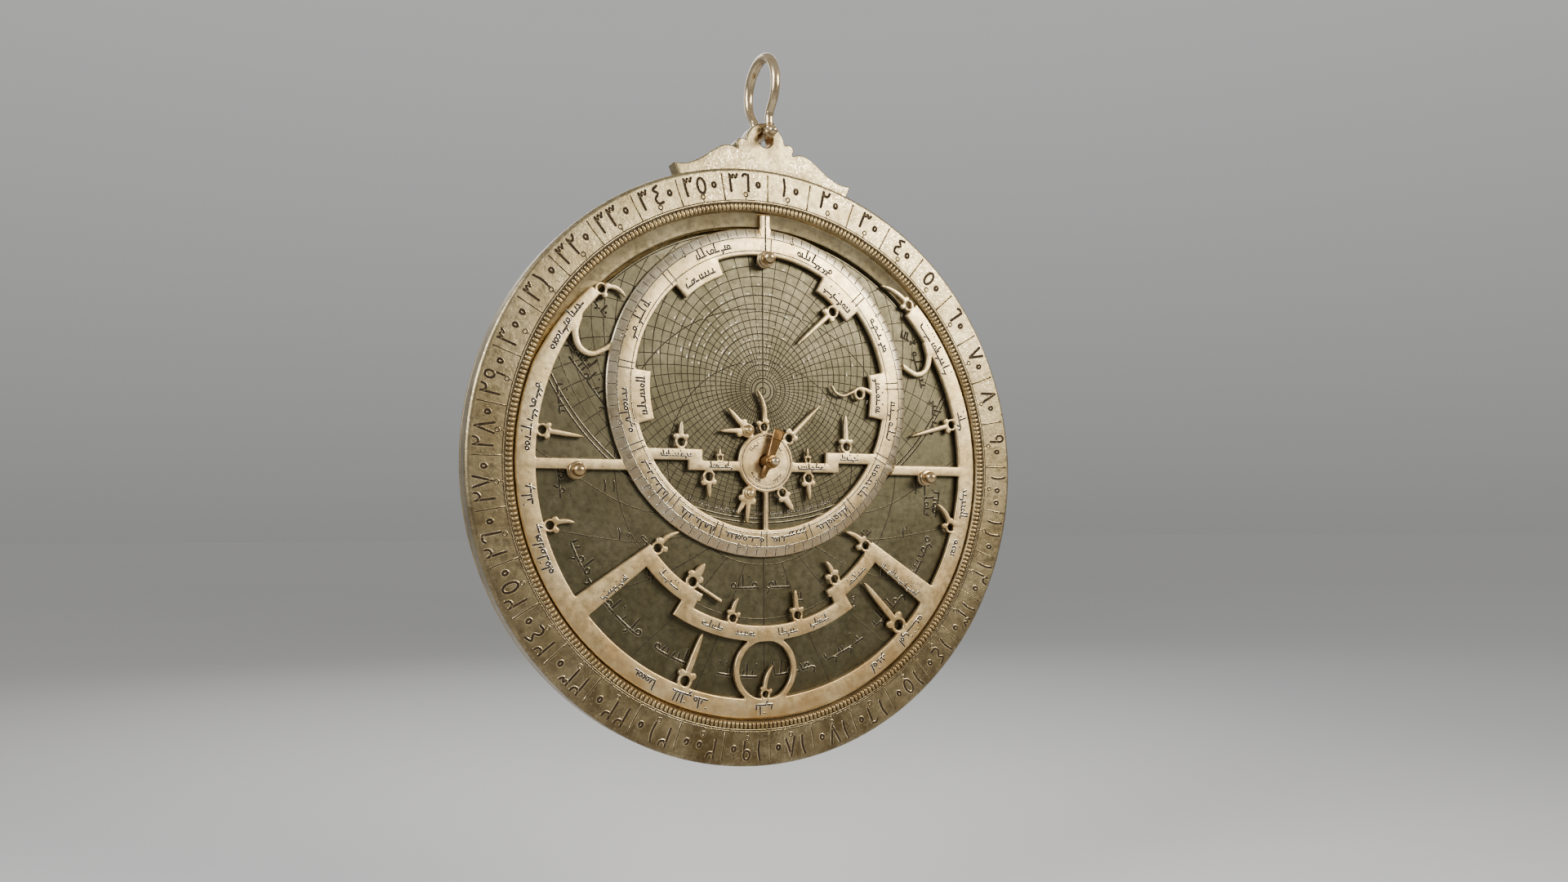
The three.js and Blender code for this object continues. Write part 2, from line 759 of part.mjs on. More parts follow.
function shacklePin() {
  const ballAt = LEG_OFFSET + EYE.thickness / 2 + 1.05;
  const capTurn = 180 - (Math.asin(SHACKLE_PIN.radius / SHACKLE_PIN.ball) * 180) / Math.PI;
  const front = profileArc(SHACKLE_PIN.ball, -ballAt, 0, capTurn, 6);
  const back = front.map(([radius, y]) => [radius, -y]).reverse();
  return turned([...front, ...back], 18).translate([0, SHACKLE_Y, SHACKLE_PIN.z]);
}

// ---- The object ----

function shackleGroup() {
  const group = new THREE.Group();
  group.add(mesh("shackle_loop", shackleLoop(), POLISHED_BRASS));
  group.add(mesh("shackle_pin", shacklePin(), POLISHED_BRASS));
  return group;
}

function materGroup() {
  const group = new THREE.Group();
  group.add(mesh("limb_ring", limbRing(), LIMB_BRASS));
  group.add(mesh("mater_back", materBack(), LIMB_BRASS));
  group.add(mesh("throne", throne(), LIMB_BRASS));
  for (let i = 0; i < RIVET.count; i++) {
    group.add(mesh(`limb_rivet_${i + 1}`, limbRivet(i), LIMB_BRASS));
  }
  PLATE_FRONTS.forEach((front, i) => {
    group.add(mesh(`plate_${i + 1}`, plate(front), PLATE_BRASS));
  });
  return group;
}

function reteGroup() {
  const group = new THREE.Group();
  group.add(mesh("rete", rete(), RETE_BRASS));
  KNOBS.forEach(({ name, at }) => group.add(mesh(name, knob(at), POLISHED_BRASS)));
  STUDS.forEach(({ name, at }) => group.add(mesh(name, stud(at), POLISHED_BRASS)));
  return group;
}

function pinGroup() {
  const group = new THREE.Group();
  group.rotation.y = radians(WEDGE_ANGLE);
  group.add(mesh("centre_pin", centrePin(), POLISHED_BRASS));
  group.add(mesh("wedge", wedge(), WEDGE_BRONZE));
  group.add(mesh("back_washer", backWasher(), LIMB_BRASS));
  return group;
}

function alidadeGroup() {
  const group = new THREE.Group();
  group.rotation.y = radians(ALIDADE_ANGLE);
  group.add(mesh("alidade", alidade(), RETE_BRASS));
  group.add(mesh("vane_a", vane(1), RETE_BRASS));
  group.add(mesh("vane_b", vane(-1), RETE_BRASS));
  return group;
}

const astrolabe = new THREE.Group();
astrolabe.position.set(0, -SHACKLE_Y, -HANG_Z);
astrolabe.add(shackleGroup(), materGroup(), reteGroup(), pinGroup(), alidadeGroup());

export default astrolabe;
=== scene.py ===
"""A hanging brass astrolabe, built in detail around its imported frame.

Sizes are in millimetres in the disc's own coordinates, unless a name ends in _M. Their origin is the
disc's centre on the limb's front face: x to the right and z up as the face is seen, and y to the back.
Angles are in degrees from the top, clockwise as the face is seen. place() turns these into the frame.
"""

import math
import random

import bmesh
import bpy
import numpy as np
from mathutils import Matrix, Vector
from mathutils.geometry import delaunay_2d_cdt


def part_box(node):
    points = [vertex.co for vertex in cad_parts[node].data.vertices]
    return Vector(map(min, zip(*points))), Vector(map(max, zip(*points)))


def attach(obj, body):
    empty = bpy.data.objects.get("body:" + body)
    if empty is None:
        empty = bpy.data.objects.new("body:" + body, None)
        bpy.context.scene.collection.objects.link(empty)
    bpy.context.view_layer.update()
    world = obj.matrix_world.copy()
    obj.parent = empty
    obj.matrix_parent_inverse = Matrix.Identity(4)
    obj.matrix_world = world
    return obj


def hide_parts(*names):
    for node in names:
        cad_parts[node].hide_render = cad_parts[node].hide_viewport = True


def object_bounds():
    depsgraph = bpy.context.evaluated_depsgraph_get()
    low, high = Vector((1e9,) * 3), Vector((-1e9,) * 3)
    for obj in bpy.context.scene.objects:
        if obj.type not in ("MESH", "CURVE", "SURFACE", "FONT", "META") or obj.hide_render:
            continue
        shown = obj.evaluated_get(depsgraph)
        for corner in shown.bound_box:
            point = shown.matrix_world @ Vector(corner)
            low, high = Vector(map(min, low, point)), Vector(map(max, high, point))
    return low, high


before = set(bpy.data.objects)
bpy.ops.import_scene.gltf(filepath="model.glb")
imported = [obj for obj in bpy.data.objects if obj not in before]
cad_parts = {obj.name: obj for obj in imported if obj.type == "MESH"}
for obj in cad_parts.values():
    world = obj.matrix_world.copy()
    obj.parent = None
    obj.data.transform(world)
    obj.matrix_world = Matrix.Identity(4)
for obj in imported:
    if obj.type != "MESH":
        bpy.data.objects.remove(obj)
CAD_LOW, CAD_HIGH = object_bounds()  # in metres
MM = 0.001
WELD_M = 2e-7  # points nearer than this become one
LIMB_LOW_M, LIMB_HIGH_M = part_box("limb_ring")
CENTRE_M = Vector(((LIMB_LOW_M[0] + LIMB_HIGH_M[0]) / 2, LIMB_LOW_M[1], (LIMB_LOW_M[2] + LIMB_HIGH_M[2]) / 2))

# ---- Driving dimensions ----

LIMB_RADIUS = (LIMB_HIGH_M[0] - LIMB_LOW_M[0]) / 2 / MM
LIMB_BORE = 66.2
LEDGE_BORE = 62.3
LEDGE_FRONT = 2.5
RING_BACK = 5.7
MATER_FRONT = 5.9
MATER_BACK = 7.4
BEAD_OUTER = 68.1
DOUBLE_LINE = (68.35, 68.85)
CELL_INNER = 68.9
CELL_OUTER = 76.0
PLATE_RADIUS = 61.4
PLATE_FRONT = 3.0
PLATE_BACK = 3.8
RETE_FRONT = 1.0
RETE_BACK = 2.3
RIM_OUTER = 65.6
RIM_INNER = 60.6
RIM_START, RIM_TAPER, RIM_END = 46, 290, 312  # the angles where the rim starts, starts to taper and ends
RIM_END_OUTER = 63.5  # the rim's outer radius at its tapered end
ECLIPTIC_Z = 18.6
ECLIPTIC_OUTER = 43.3
ECLIPTIC_INNER = 36.1
TICK_BAND = 40.8  # outside this radius the ecliptic's face slopes back
TICK_DROP = 0.8
TAB_INNER = 31.9
TABS = ((-44, -22), (28.6, 50.3), (79, 99.8), (-105.4, -83.5))
HUB_RADIUS = 7.85
ARC_RADII = (38.0, 42.1, 46.2)  # the lower frame's arcs, from the inside
STEP_IN, STEP_OUT, FRAME_CORNER = 28.6, 33.8, 56.6  # angles from the foot to the frame's corners
EQUATOR = 40.6  # the projected equator's radius, which scales the plate and the ecliptic
OBLIQUITY = math.radians(23.5)
LATITUDE = math.radians(39.9)  # what the plate is drawn for
WEDGE_ANGLE = 19  # how far the centre pin and its wedge are turned at rest
ALIDADE_ANGLE = 32
PIN_RADIUS = 1.8
BORE_RADIUS = 1.95
THRONE_HOLE_Z = 86.0
SHACKLE_Y = 3.0
SHACKLE_PIN_Z = 87.1


def polar(radius, angle, centre=(0, 0)):
    """A point at an angle clockwise from the top; radius and angle may be arrays."""
    turn = np.radians(angle)
    return np.stack([centre[0] + radius * np.sin(turn), centre[1] + radius * np.cos(turn)], axis=-1)


def place(points):
    """Disc coordinates in millimetres as frame coordinates in metres."""
    return np.asarray(points, dtype=float) * MM + np.array(CENTRE_M)


def turned_about_centre(points, angle):
    """Points turned clockwise, as the face is seen, about the disc's axis."""
    turn = math.radians(angle)
    sine, cosine = math.sin(turn), math.cos(turn)
    x, y, z = np.asarray(points, dtype=float).T
    return np.stack([x * cosine + z * sine, y, z * cosine - x * sine], axis=1)


# ---- Meshes ----


class Mesh:
    """Collects vertices in disc millimetres, and faces of three or four corners with a material each."""

    def __init__(self):
        self.points, self.faces, self.paints, self.count = [], [], [], 0

    def add(self, points, faces, paint=0):
        """Adds an array of faces or a list of such blocks. paint is a material's number, or one for each
        face, or a list with either of them for each block."""
        blocks = faces if isinstance(faces, list) else [faces]
        paints = paint if isinstance(paint, list) else [paint] * len(blocks)
        for block, numbers in zip(blocks, paints):
            block = np.asarray(block, dtype=np.int32)
            self.faces.append(block + self.count)
            self.paints.append(np.broadcast_to(np.asarray(numbers, dtype=np.int32), len(block)))
        self.points.append(np.asarray(points, dtype=float).reshape(-1, 3))
        self.count += len(self.points[-1])

    def build(self, name, body, materials, sharp, replaced=(), turn=0.0):
        """Makes the piece. Edges sharper than sharp stay hard; turn is about the disc's axis."""
        points = np.concatenate(self.points)
        if turn:
            points = turned_about_centre(points, turn)
        mesh = bpy.data.meshes.new(name)
        sizes = np.concatenate([np.full(len(f), f.shape[1]) for f in self.faces])
        corners = np.concatenate([f.ravel() for f in self.faces])
        mesh.vertices.add(len(points))
        mesh.vertices.foreach_set("co", place(points).ravel())
        mesh.loops.add(len(corners))
        mesh.loops.foreach_set("vertex_index", corners)
        mesh.polygons.add(len(sizes))
        mesh.polygons.foreach_set("loop_start", np.concatenate([[0], np.cumsum(sizes)[:-1]]))
        mesh.polygons.foreach_set("loop_total", sizes)
        mesh.polygons.foreach_set("material_index", np.concatenate(self.paints))
        mesh.update(calc_edges=True)
        joined = bmesh.new()
        joined.from_mesh(mesh)
        bmesh.ops.remove_doubles(joined, verts=joined.verts, dist=WELD_M)
        bmesh.ops.recalc_face_normals(joined, faces=joined.faces)
        joined.to_mesh(mesh)
        joined.free()
        for material in materials:
            mesh.materials.append(material)
        mesh.shade_smooth()
        mesh.set_sharp_from_angle(angle=math.radians(sharp))
        piece = bpy.data.objects.new(name, mesh)
        bpy.context.scene.collection.objects.link(piece)
        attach(piece, body)
        if replaced:
            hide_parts(*replaced)


def grid_faces(rows, columns, closed=False, round_columns=False):
    """Quads between a grid's points. closed joins its last row to the first; round_columns, its columns."""
    row = np.arange(rows if closed else rows - 1)[:, None]
    column = np.arange(columns if round_columns else columns - 1)[None, :]
    after, beside = (row + 1) % rows, (column + 1) % columns
    corners = [row * columns + column, row * columns + beside, after * columns + beside]
    corners.append(after * columns + column)
    return np.stack([c.ravel() for c in np.broadcast_arrays(*corners)], axis=1)


def lathe(profile, segments, centre=(0, 0)):
    """Points and faces of a profile of [radius, y] pairs, turned about an axis along y."""
    profile = np.asarray(profile, dtype=float)
    angles = np.radians(np.arange(segments) * 360 / segments)
    x = centre[0] + np.outer(np.sin(angles), profile[:, 0])
    z = centre[1] + np.outer(np.cos(angles), profile[:, 0])
    y = np.broadcast_to(profile[:, 1], x.shape)
    return np.stack([x, y, z], axis=-1).reshape(-1, 3), grid_faces(segments, len(profile), True)


def turned_piece(node, body, material, sharp, profile, segments, at=(0, 0)):
    """A round piece of one material that stands for a node of the frame."""
    mesh = Mesh()
    mesh.add(*lathe(profile, segments, at))
    mesh.build(f"{node}_piece", body, [material], sharp, [node])


def add_bar(mesh, rows, paint=0):
    """A closed bar through rows of points, each row with the same number of corners."""
    points = np.array(rows)
    count, sides = points.shape[:2]
    firsts = (0, (count - 1) * sides)
    caps = [[first, first + i, first + i + 1] for first in firsts for i in range(1, sides - 1)]
    mesh.add(points.reshape(-1, 3), [grid_faces(count, sides, False, True), np.array(caps)], paint)


def arc_profile(radius, y, start, end, steps):
    """Part of a circle in a lathe's profile, between two angles from the front."""
    turns = np.radians(np.linspace(start, end, steps + 1))
    return [[max(0.0, radius * math.sin(t)), y - radius * math.cos(t)] for t in turns]


# ---- Flat outlines as distance fields ----

EMPTY = 3.0  # a field's value before any shape is near
SETTLE_TOLERANCE = 0.004
OUTLINE_TOLERANCE = 0.006
INNER_TOLERANCE = OUTLINE_TOLERANCE * 0.7
ROUNDING_STEPS = (0.0, 0.14, 0.38, 0.7, 1.0)  # lines that follow an edge's rounding, as shares of it


class Field:
    """A flat outline as a grid of distances from its edge, in millimetres, negative inside."""

    def __init__(self, low, high, step):
        self.low, self.step = np.array(low, dtype=float), step
        shape = np.ceil((np.array(high) - self.low) / step).astype(int) + 1
        self.value = np.full((shape[1], shape[0]), EMPTY)

    def window(self, box, margin=1.6):
        """The part of the grid in and round a box, and the x and z of its points."""
        if box is None:
            rows, columns = slice(None), slice(None)
        else:
            first = np.floor((np.array(box[:2]) - margin - self.low) / self.step).astype(int)
            last = np.ceil((np.array(box[2:]) + margin - self.low) / self.step).astype(int)
            first = np.maximum(first, 0)
            rows, columns = slice(first[1], last[1] + 1), slice(first[0], last[0] + 1)
        height, width = self.value.shape
        x = self.low[0] + self.step * np.arange(width)[columns]
        z = self.low[1] + self.step * np.arange(height)[rows]
        return (rows, columns), np.meshgrid(x, z)

    def add(self, shape, box=None, blend=0.45):
        """Joins a shape on, with a fillet about as wide as blend where it meets what is there."""
        at, (x, z) = self.window(box)
        new, old = shape(x, z), self.value[at]
        near = np.maximum(blend - np.abs(new - old), 0) / blend
        self.value[at] = np.minimum(new, old) - near * near * blend / 4

    def cut(self, shape, box=None):
        """Takes a shape away."""
        at, (x, z) = self.window(box)
        self.value[at] = np.maximum(self.value[at], -shape(x, z))

    def disc(self, centre, radius, blend=0.45):
        self.add(disc(centre, radius), box_around(centre, radius), blend)

    def hole(self, centre, radius):
        self.cut(disc(centre, radius), box_around(centre, radius))

    def polygon(self, corners, blend=0.45):
        corners = np.asarray(corners, dtype=float)
        self.add(polygon(corners), span(corners), blend)

    def rod(self, line, radii, blend=0.45):
        """A strip along a dense line of points, with its half-width at each."""
        line, radii = np.asarray(line, dtype=float), np.broadcast_to(radii, len(line))

        def shape(x, z):
            best = np.full(x.shape, np.inf)
            for (px, pz), radius in zip(line, radii):
                best = np.minimum(best, np.hypot(x - px, z - pz) - radius)
            return best

        self.add(shape, span(line), blend)

    def settle(self, reach=0.9):
        """Puts true distances near the edge, in place of those that joined shapes spoil where they meet."""
        inside = self.value < 0
        true = np.full(self.value.shape, reach)
        for loop in self.contours(0.0):
            loop = simplified(loop, SETTLE_TOLERANCE)
            for start, end in zip(loop, np.roll(loop, -1, axis=0)):
                at, (x, z) = self.window((*np.minimum(start, end), *np.maximum(start, end)), reach)
                along, x, z = end - start, x - start[0], z - start[1]
                share = np.clip((x * along[0] + z * along[1]) / (along @ along), 0, 1)
                away = np.hypot(x - along[0] * share, z - along[1] * share)
                true[at] = np.minimum(true[at], away)
        self.value = np.where(inside, -true, true)

    def at(self, points):
        """The distance at any points, between the grid's own."""
        place_in_grid = (np.asarray(points, dtype=float) - self.low) / self.step
        limit = np.array(self.value.shape[::-1]) - 2
        cell = np.clip(np.floor(place_in_grid).astype(int), 0, limit)
        u, v = (place_in_grid - cell).T
        column, row = cell.T
        value = self.value
        lower = value[row, column] * (1 - u) + value[row, column + 1] * u
        upper = value[row + 1, column] * (1 - u) + value[row + 1, column + 1] * u
        return lower * (1 - v) + upper * v

    def contours(self, level):
        """Closed lines where the distance is level, with lower values on their left."""
        value = self.value - level
        height, width = value.shape
        inside = value < 0
        code = inside[:-1, :-1] * 1 + inside[:-1, 1:] * 2 + inside[1:, 1:] * 4 + inside[1:, :-1] * 8
        rows, columns = np.nonzero((code > 0) & (code < 15))
        base = rows * width + columns
        total = height * width
        edges = [base, total + base + 1, base + width, total + base]  # below, right, above, left
        following = {}
        for case, pairs in CONTOUR_CASES.items():
            chosen = code[rows, columns] == case
            for start, end in pairs:
                following.update(zip(edges[start][chosen].tolist(), edges[end][chosen].tolist()))
        loops = []
        while following:
            start, step = following.popitem()
            loop = [start]
            while step != start:
                loop.append(step)
                step = following.pop(step)
            loops.append(self.edge_points(np.array(loop), value))
        return loops

    def edge_points(self, edges, value):
        """Where value crosses zero on the grid's level edges and, numbered after them, its upright ones."""
        height, width = value.shape
        upright = edges >= height * width
        cell = edges - upright * height * width
        row, column = cell // width, cell % width
        other = value[row + upright, column + ~upright]
        share = value[row, column] / (value[row, column] - other)
        x = column + share * ~upright
        z = row + share * upright
        return self.low + self.step * np.stack([x, z], axis=1)


# For each pattern of corners inside (1, 2, 4 and 8, anticlockwise from the lower left), the cell's
# edges that the line enters and leaves by: 0 below, 1 right, 2 above, 3 left.
CONTOUR_CASES = {
    1: [(0, 3)], 2: [(1, 0)], 3: [(1, 3)], 4: [(2, 1)], 5: [(0, 3), (2, 1)], 6: [(2, 0)], 7: [(2, 3)],
    8: [(3, 2)], 9: [(0, 2)], 10: [(1, 0), (3, 2)], 11: [(1, 2)], 12: [(3, 1)], 13: [(0, 1)], 14: [(3, 0)],
}


def disc(centre, radius):
    """A round shape for a field: the distance from its edge, negative inside."""
    return lambda x, z: np.hypot(x - centre[0], z - centre[1]) - radius


def hoop(centre, radius, half):
    """A ring about a middle radius, and half wide to both sides of it."""
    return lambda x, z: np.abs(np.hypot(x - centre[0], z - centre[1]) - radius) - half


def band(inner, outer, start, end, centre=(0, 0)):
    """A ring's sector, clockwise from start to end. outer may be a function of the angle."""
    middle, half = math.radians((start + end) / 2), math.radians((end - start) / 2)

    def shape(x, z):
        x, z = x - centre[0], z - centre[1]
        radius = np.hypot(x, z)
        turn = np.arctan2(x, z)
        away = np.abs((turn - middle + math.pi) % (2 * math.pi) - math.pi) - half
        edge = radius * np.sin(np.clip(away, -math.pi / 2, math.pi / 2))
        reach = outer(np.degrees(turn) % 360) if callable(outer) else outer
        return np.maximum(np.maximum(radius - reach, inner - radius), edge)

    return shape


def polygon(corners):
    """A straight-edged shape for a field."""

    def shape(x, z):
        nearest = np.full(x.shape, np.inf)
        inside = np.zeros(x.shape, dtype=bool)
        for (ax, az), (bx, bz) in zip(corners, np.roll(corners, -1, axis=0)):
            ex, ez, wx, wz = bx - ax, bz - az, x - ax, z - az
            share = np.clip((wx * ex + wz * ez) / (ex * ex + ez * ez), 0, 1)
            nearest = np.minimum(nearest, (wx - ex * share) ** 2 + (wz - ez * share) ** 2)
            if bz != az:
                inside ^= ((az > z) != (bz > z)) & (x < ex * wz / ez + ax)
        return np.where(inside, -1, 1) * np.sqrt(nearest)

    return shape


def box_corners(x0, x1, z0, z1):
    return [(x0, z0), (x1, z0), (x1, z1), (x0, z1)]


def box_around(centre, radius):
    return centre[0] - radius, centre[1] - radius, centre[0] + radius, centre[1] + radius


def span(points):
    """The box round some points: its two lower and its two upper limits."""
    return (*points.min(axis=0), *points.max(axis=0))


def simplified(loop, tolerance):
    """A closed line with the points left out that lie within tolerance of the rest."""
    count = len(loop)
    keep = np.zeros(count + 1, dtype=bool)
    closed = np.vstack([loop, loop[:1]])
    middle = int(np.argmax(np.hypot(*(loop - loop[0]).T)))
    keep[[0, middle, count]] = True
    spans = [(0, middle), (middle, count)]
    while spans:
        start, end = spans.pop()
        if end - start < 2:
            continue
        along = closed[end] - closed[start]
        away = closed[start + 1 : end] - closed[start]
        length = np.hypot(*along)
        if length:
            off = np.abs(along[0] * away[:, 1] - along[1] * away[:, 0]) / length
        else:
            off = np.hypot(*away.T)
        worst = int(np.argmax(off))
        if off[worst] > tolerance:
            cut = start + 1 + worst
            keep[cut] = True
            spans += [(start, cut), (cut, end)]
    return loop[keep[:count]]


def add_loop(points, edges, loop):
    """Adds a closed line's points to a list, and its edges to another."""
    first, count = len(points), len(loop)
    points += [list(point) for point in loop]
    edges += [(first + i, first + (i + 1) % count) for i in range(count)]


def rounded_off(depth, rounding):
    """How far a rounded edge falls back, at each distance in from the outline."""
    near = np.clip(1 - depth / rounding, 0, 1)
    return rounding * (1 - np.sqrt(1 - near * near))


def filled(field, rounding, lines):
    """Flat points, their depths inside the field's outline, and the triangles between them.

    The triangles follow the outline, the lines at ROUNDING_STEPS inside it, and any extra closed lines.
    """
    points, edges, depths = [], [], []
    for level in (rounding * share for share in ROUNDING_STEPS):
        for loop in field.contours(-level):
            loop = simplified(loop, INNER_TOLERANCE if level else OUTLINE_TOLERANCE)
            if len(loop) < 3 or len(loop) < 6 and level > 0:
                continue
            add_loop(points, edges, loop)
            depths += [level] * len(loop)
    for line in lines:
        add_loop(points, edges, line)
        depths += [None] * len(line)
    found = delaunay_2d_cdt([Vector(point) for point in points], edges, [], 0, 1e-5)
    flat = np.array([tuple(v) for v in found[0]])
    faces = np.array([f for f in found[2] if len(f) == 3])
    faces = faces[field.at(flat[faces].mean(axis=1)) < 0]
    depth = np.maximum(-field.at(flat), 0)
    for index, sources in enumerate(found[3]):
        known = [depths[s] for s in sources if depths[s] is not None]
        if known:
            depth[index] = known[0]
    used = np.unique(faces)
    renumber = np.full(len(flat), -1)
    renumber[used] = np.arange(len(used))
    flat, depth, faces = flat[used], depth[used], renumber[faces]
    a, b, c = flat[faces[:, 0]], flat[faces[:, 1]], flat[faces[:, 2]]
    area = (b[:, 0] - a[:, 0]) * (c[:, 1] - a[:, 1]) - (b[:, 1] - a[:, 1]) * (c[:, 0] - a[:, 0])
    faces[area < 0] = faces[area < 0][:, ::-1]
    return flat, depth, faces


def border_edges(faces, count):
    """The edges that only one face has, in that face's direction."""
    edges = np.concatenate([faces[:, [0, 1]], faces[:, [1, 2]], faces[:, [2, 0]]])
    keys = edges[:, 0].astype(np.int64) * count + edges[:, 1]
    twins = edges[:, 1].astype(np.int64) * count + edges[:, 0]
    return edges[~np.isin(keys, twins)]


def relief(field, front, back, rounding, back_rounding, lines=(), slope=None):
    """A flat piece from a field: rounded along its edges, and sloped at its front where slope says.

    Returns its points, and its faces as fronts, backs and walls. lines are extra closed lines that the
    faces follow.
    """
    field.settle()
    flat, depth, faces = filled(field, rounding, lines)
    (x, z), count = flat.T, len(flat)
    y = front + rounded_off(depth, rounding)
    if slope is not None:
        y = y + slope(x, z)
    fronts = np.stack([x, y, z], axis=1)
    backs = np.stack([x, np.full(count, back) - rounded_off(depth, back_rounding), z], axis=1)
    border = border_edges(faces, count)
    walls = np.stack([border[:, 1], border[:, 0], border[:, 0] + count, border[:, 1] + count], axis=1)
    return np.vstack([fronts, backs]), [faces, faces[:, ::-1] + count, walls]


# ---- Engraved lines ----


def flat_at(y):
    """A level surface for engrave."""
    return lambda x, z: np.full(np.shape(x), y)


def engrave(mesh, line, width, surface, closed=False, burr=0.03, outward=-1.0, lip=0.6, paint=(0, 1)):
    """One engraved line: a dark hollow between two raised burrs, on the surface's y at each point.

    It is a closed strip whose underside lies just inside the piece that it marks. lip is a burr's width
    as a share of half the hollow's. paint is the material of the burrs, then of the hollow. The hollow's
    middle stands just above the surface, so its dark material is dirt and painted shade in the place of
    a cut's depth, and a burr's lighter material is painted highlight.
    """
    line = np.asarray(line, dtype=float)
    if closed:
        along = np.roll(line, -1, axis=0) - np.roll(line, 1, axis=0)
    else:
        along = np.gradient(line, axis=0)
    length = np.maximum(np.hypot(*along.T), 1e-9)
    side = np.stack([-along[:, 1], along[:, 0]], axis=1) / length[:, None]
    half = np.full(len(line), width / 2.0)
    if not closed:
        start, end = along[0] / length[0], along[-1] / length[-1]
        line = np.vstack([line[:1] - start * width * 0.4, line, line[-1:] + end * width * 0.4])
        side = np.vstack([side[:1], side, side[-1:]])
        half = np.concatenate([[width * 0.12], half, [width * 0.12]])
    across = np.array([-1.0 - lip, -1.0, 0.0, 1.0, 1.0 + lip, 0.0])
    raised = np.array([-0.01, burr, 0.004, burr, -0.01, -0.12])
    spots = line[:, None, :] + side[:, None, :] * (half[:, None] * across)[:, :, None]
    y = surface(spots[..., 0], spots[..., 1]) + outward * raised
    points = np.stack([spots[..., 0], y, spots[..., 1]], axis=-1).reshape(-1, 3)
    faces = grid_faces(len(line), len(across), closed, True)
    paints = np.where(np.isin(np.arange(len(faces)) % len(across), (1, 2)), paint[1], paint[0])
    if not closed:
        last = (len(line) - 1) * len(across)
        ends = np.array([[5, 2, 1, 0], [5, 4, 3, 2], [last, last + 1, last + 2, last + 5]])
        faces = np.vstack([faces, ends, [[last + 2, last + 3, last + 4, last + 5]]])
        paints = np.concatenate([paints, np.full(4, paint[0])])
    mesh.add(points, faces[:, ::-1] if outward < 0 else faces, paints)


def circle_line(centre, radius, step=0.8):
    """A closed circle, with its points about step apart."""
    count = max(10, int(2 * math.pi * radius / step))
    return polar(radius, np.arange(count) * 360 / count, centre)


def open_circle(centre, radius, step):
    """A circle as an open line that ends where it starts."""
    line = circle_line(centre, radius, step)
    return np.vstack([line, line[:1]])


def spoke(inner, outer, angle, count=2, centre=(0, 0)):
    """A straight line between two radii."""
    return polar(np.linspace(inner, outer, count), angle, centre)


def runs(line, keep):
    """The stretches of a line where keep is true, two points or more each."""
    stretches, current = [], []
    for point, good in zip(line, keep):
        if good:
            current.append(point)
        elif len(current) > 1:
            stretches.append(np.array(current))
        if not good:
            current = []
    if len(current) > 1:
        stretches.append(np.array(current))
    return stretches


def smooth(points, steps=6):
    """A Catmull-Rom line through points."""
    points = np.asarray(points, dtype=float)
    if len(points) < 3:
        return points
    padded = np.vstack([2 * points[0] - points[1], points, 2 * points[-1] - points[-2]])
    line = []
    for before, start, end, after in zip(padded, padded[1:], padded[2:], padded[3:]):
        square = 2 * before - 5 * start + 4 * end - after
        cube = 3 * start - before - 3 * end + after
        for t in np.arange(steps) / steps:
            line.append(0.5 * (2 * start + (end - before) * t + square * t * t + cube * t**3))
    return np.vstack([line, points[-1:]])


def ring_points(cx, cz, rx, rz, count=12):
    """An ellipse about (cx, cz), with its first point repeated at its end."""
    turns = np.linspace(0, 2 * math.pi, count + 1)
    return [(cx + rx * math.sin(t), cz + rz * math.cos(t)) for t in turns]


# Eastern Arabic digits as pen strokes in a square of side 1.
DIGITS = {
    0: [ring_points(0.5, 0.42, 0.13, 0.13, 8)],
    1: [[(0.42, 1.0), (0.55, 0.5), (0.5, 0.0)]],
    2: [[(0.3, 0.0), (0.3, 0.98)], [(0.3, 0.9), (0.5, 0.72), (0.74, 0.8), (0.8, 1.0)]],
    3: [[(0.24, 0.0), (0.24, 0.98)], [(0.24, 0.92), (0.4, 0.76), (0.52, 0.95), (0.68, 0.76), (0.84, 0.98)]],
    4: [[(0.75, 1.0), (0.34, 0.84), (0.62, 0.58), (0.3, 0.34), (0.42, 0.05), (0.82, 0.06)]],
    5: [ring_points(0.5, 0.45, 0.3, 0.42)],
    6: [[(0.24, 0.86), (0.42, 0.98), (0.72, 0.92)], [(0.72, 0.98), (0.66, 0.0)]],
    7: [[(0.16, 1.0), (0.5, 0.02)], [(0.5, 0.02), (0.86, 1.0)]],
    8: [[(0.14, 0.0), (0.5, 0.98)], [(0.5, 0.98), (0.86, 0.0)]],
    9: [ring_points(0.46, 0.72, 0.24, 0.24), [(0.7, 0.76), (0.66, 0.0)]],
}


def numeral(value, height, pitch=0.82):
    """Pen strokes of a whole number, centred on (0, 0). pitch is a digit's width as a share of height."""
    digits = [int(d) for d in str(value)]
    width = height * pitch
    strokes = []
    for index, digit in enumerate(digits):
        shift = (index - (len(digits) - 1) / 2) * width
        for stroke in DIGITS[digit]:
            line = smooth(stroke, 3) if len(stroke) > 2 else np.array(stroke)
            x, z = (line[:, 0] - 0.5) * width + shift, (line[:, 1] - 0.5) * height
            strokes.append(np.stack([x, z], axis=1))
    return strokes


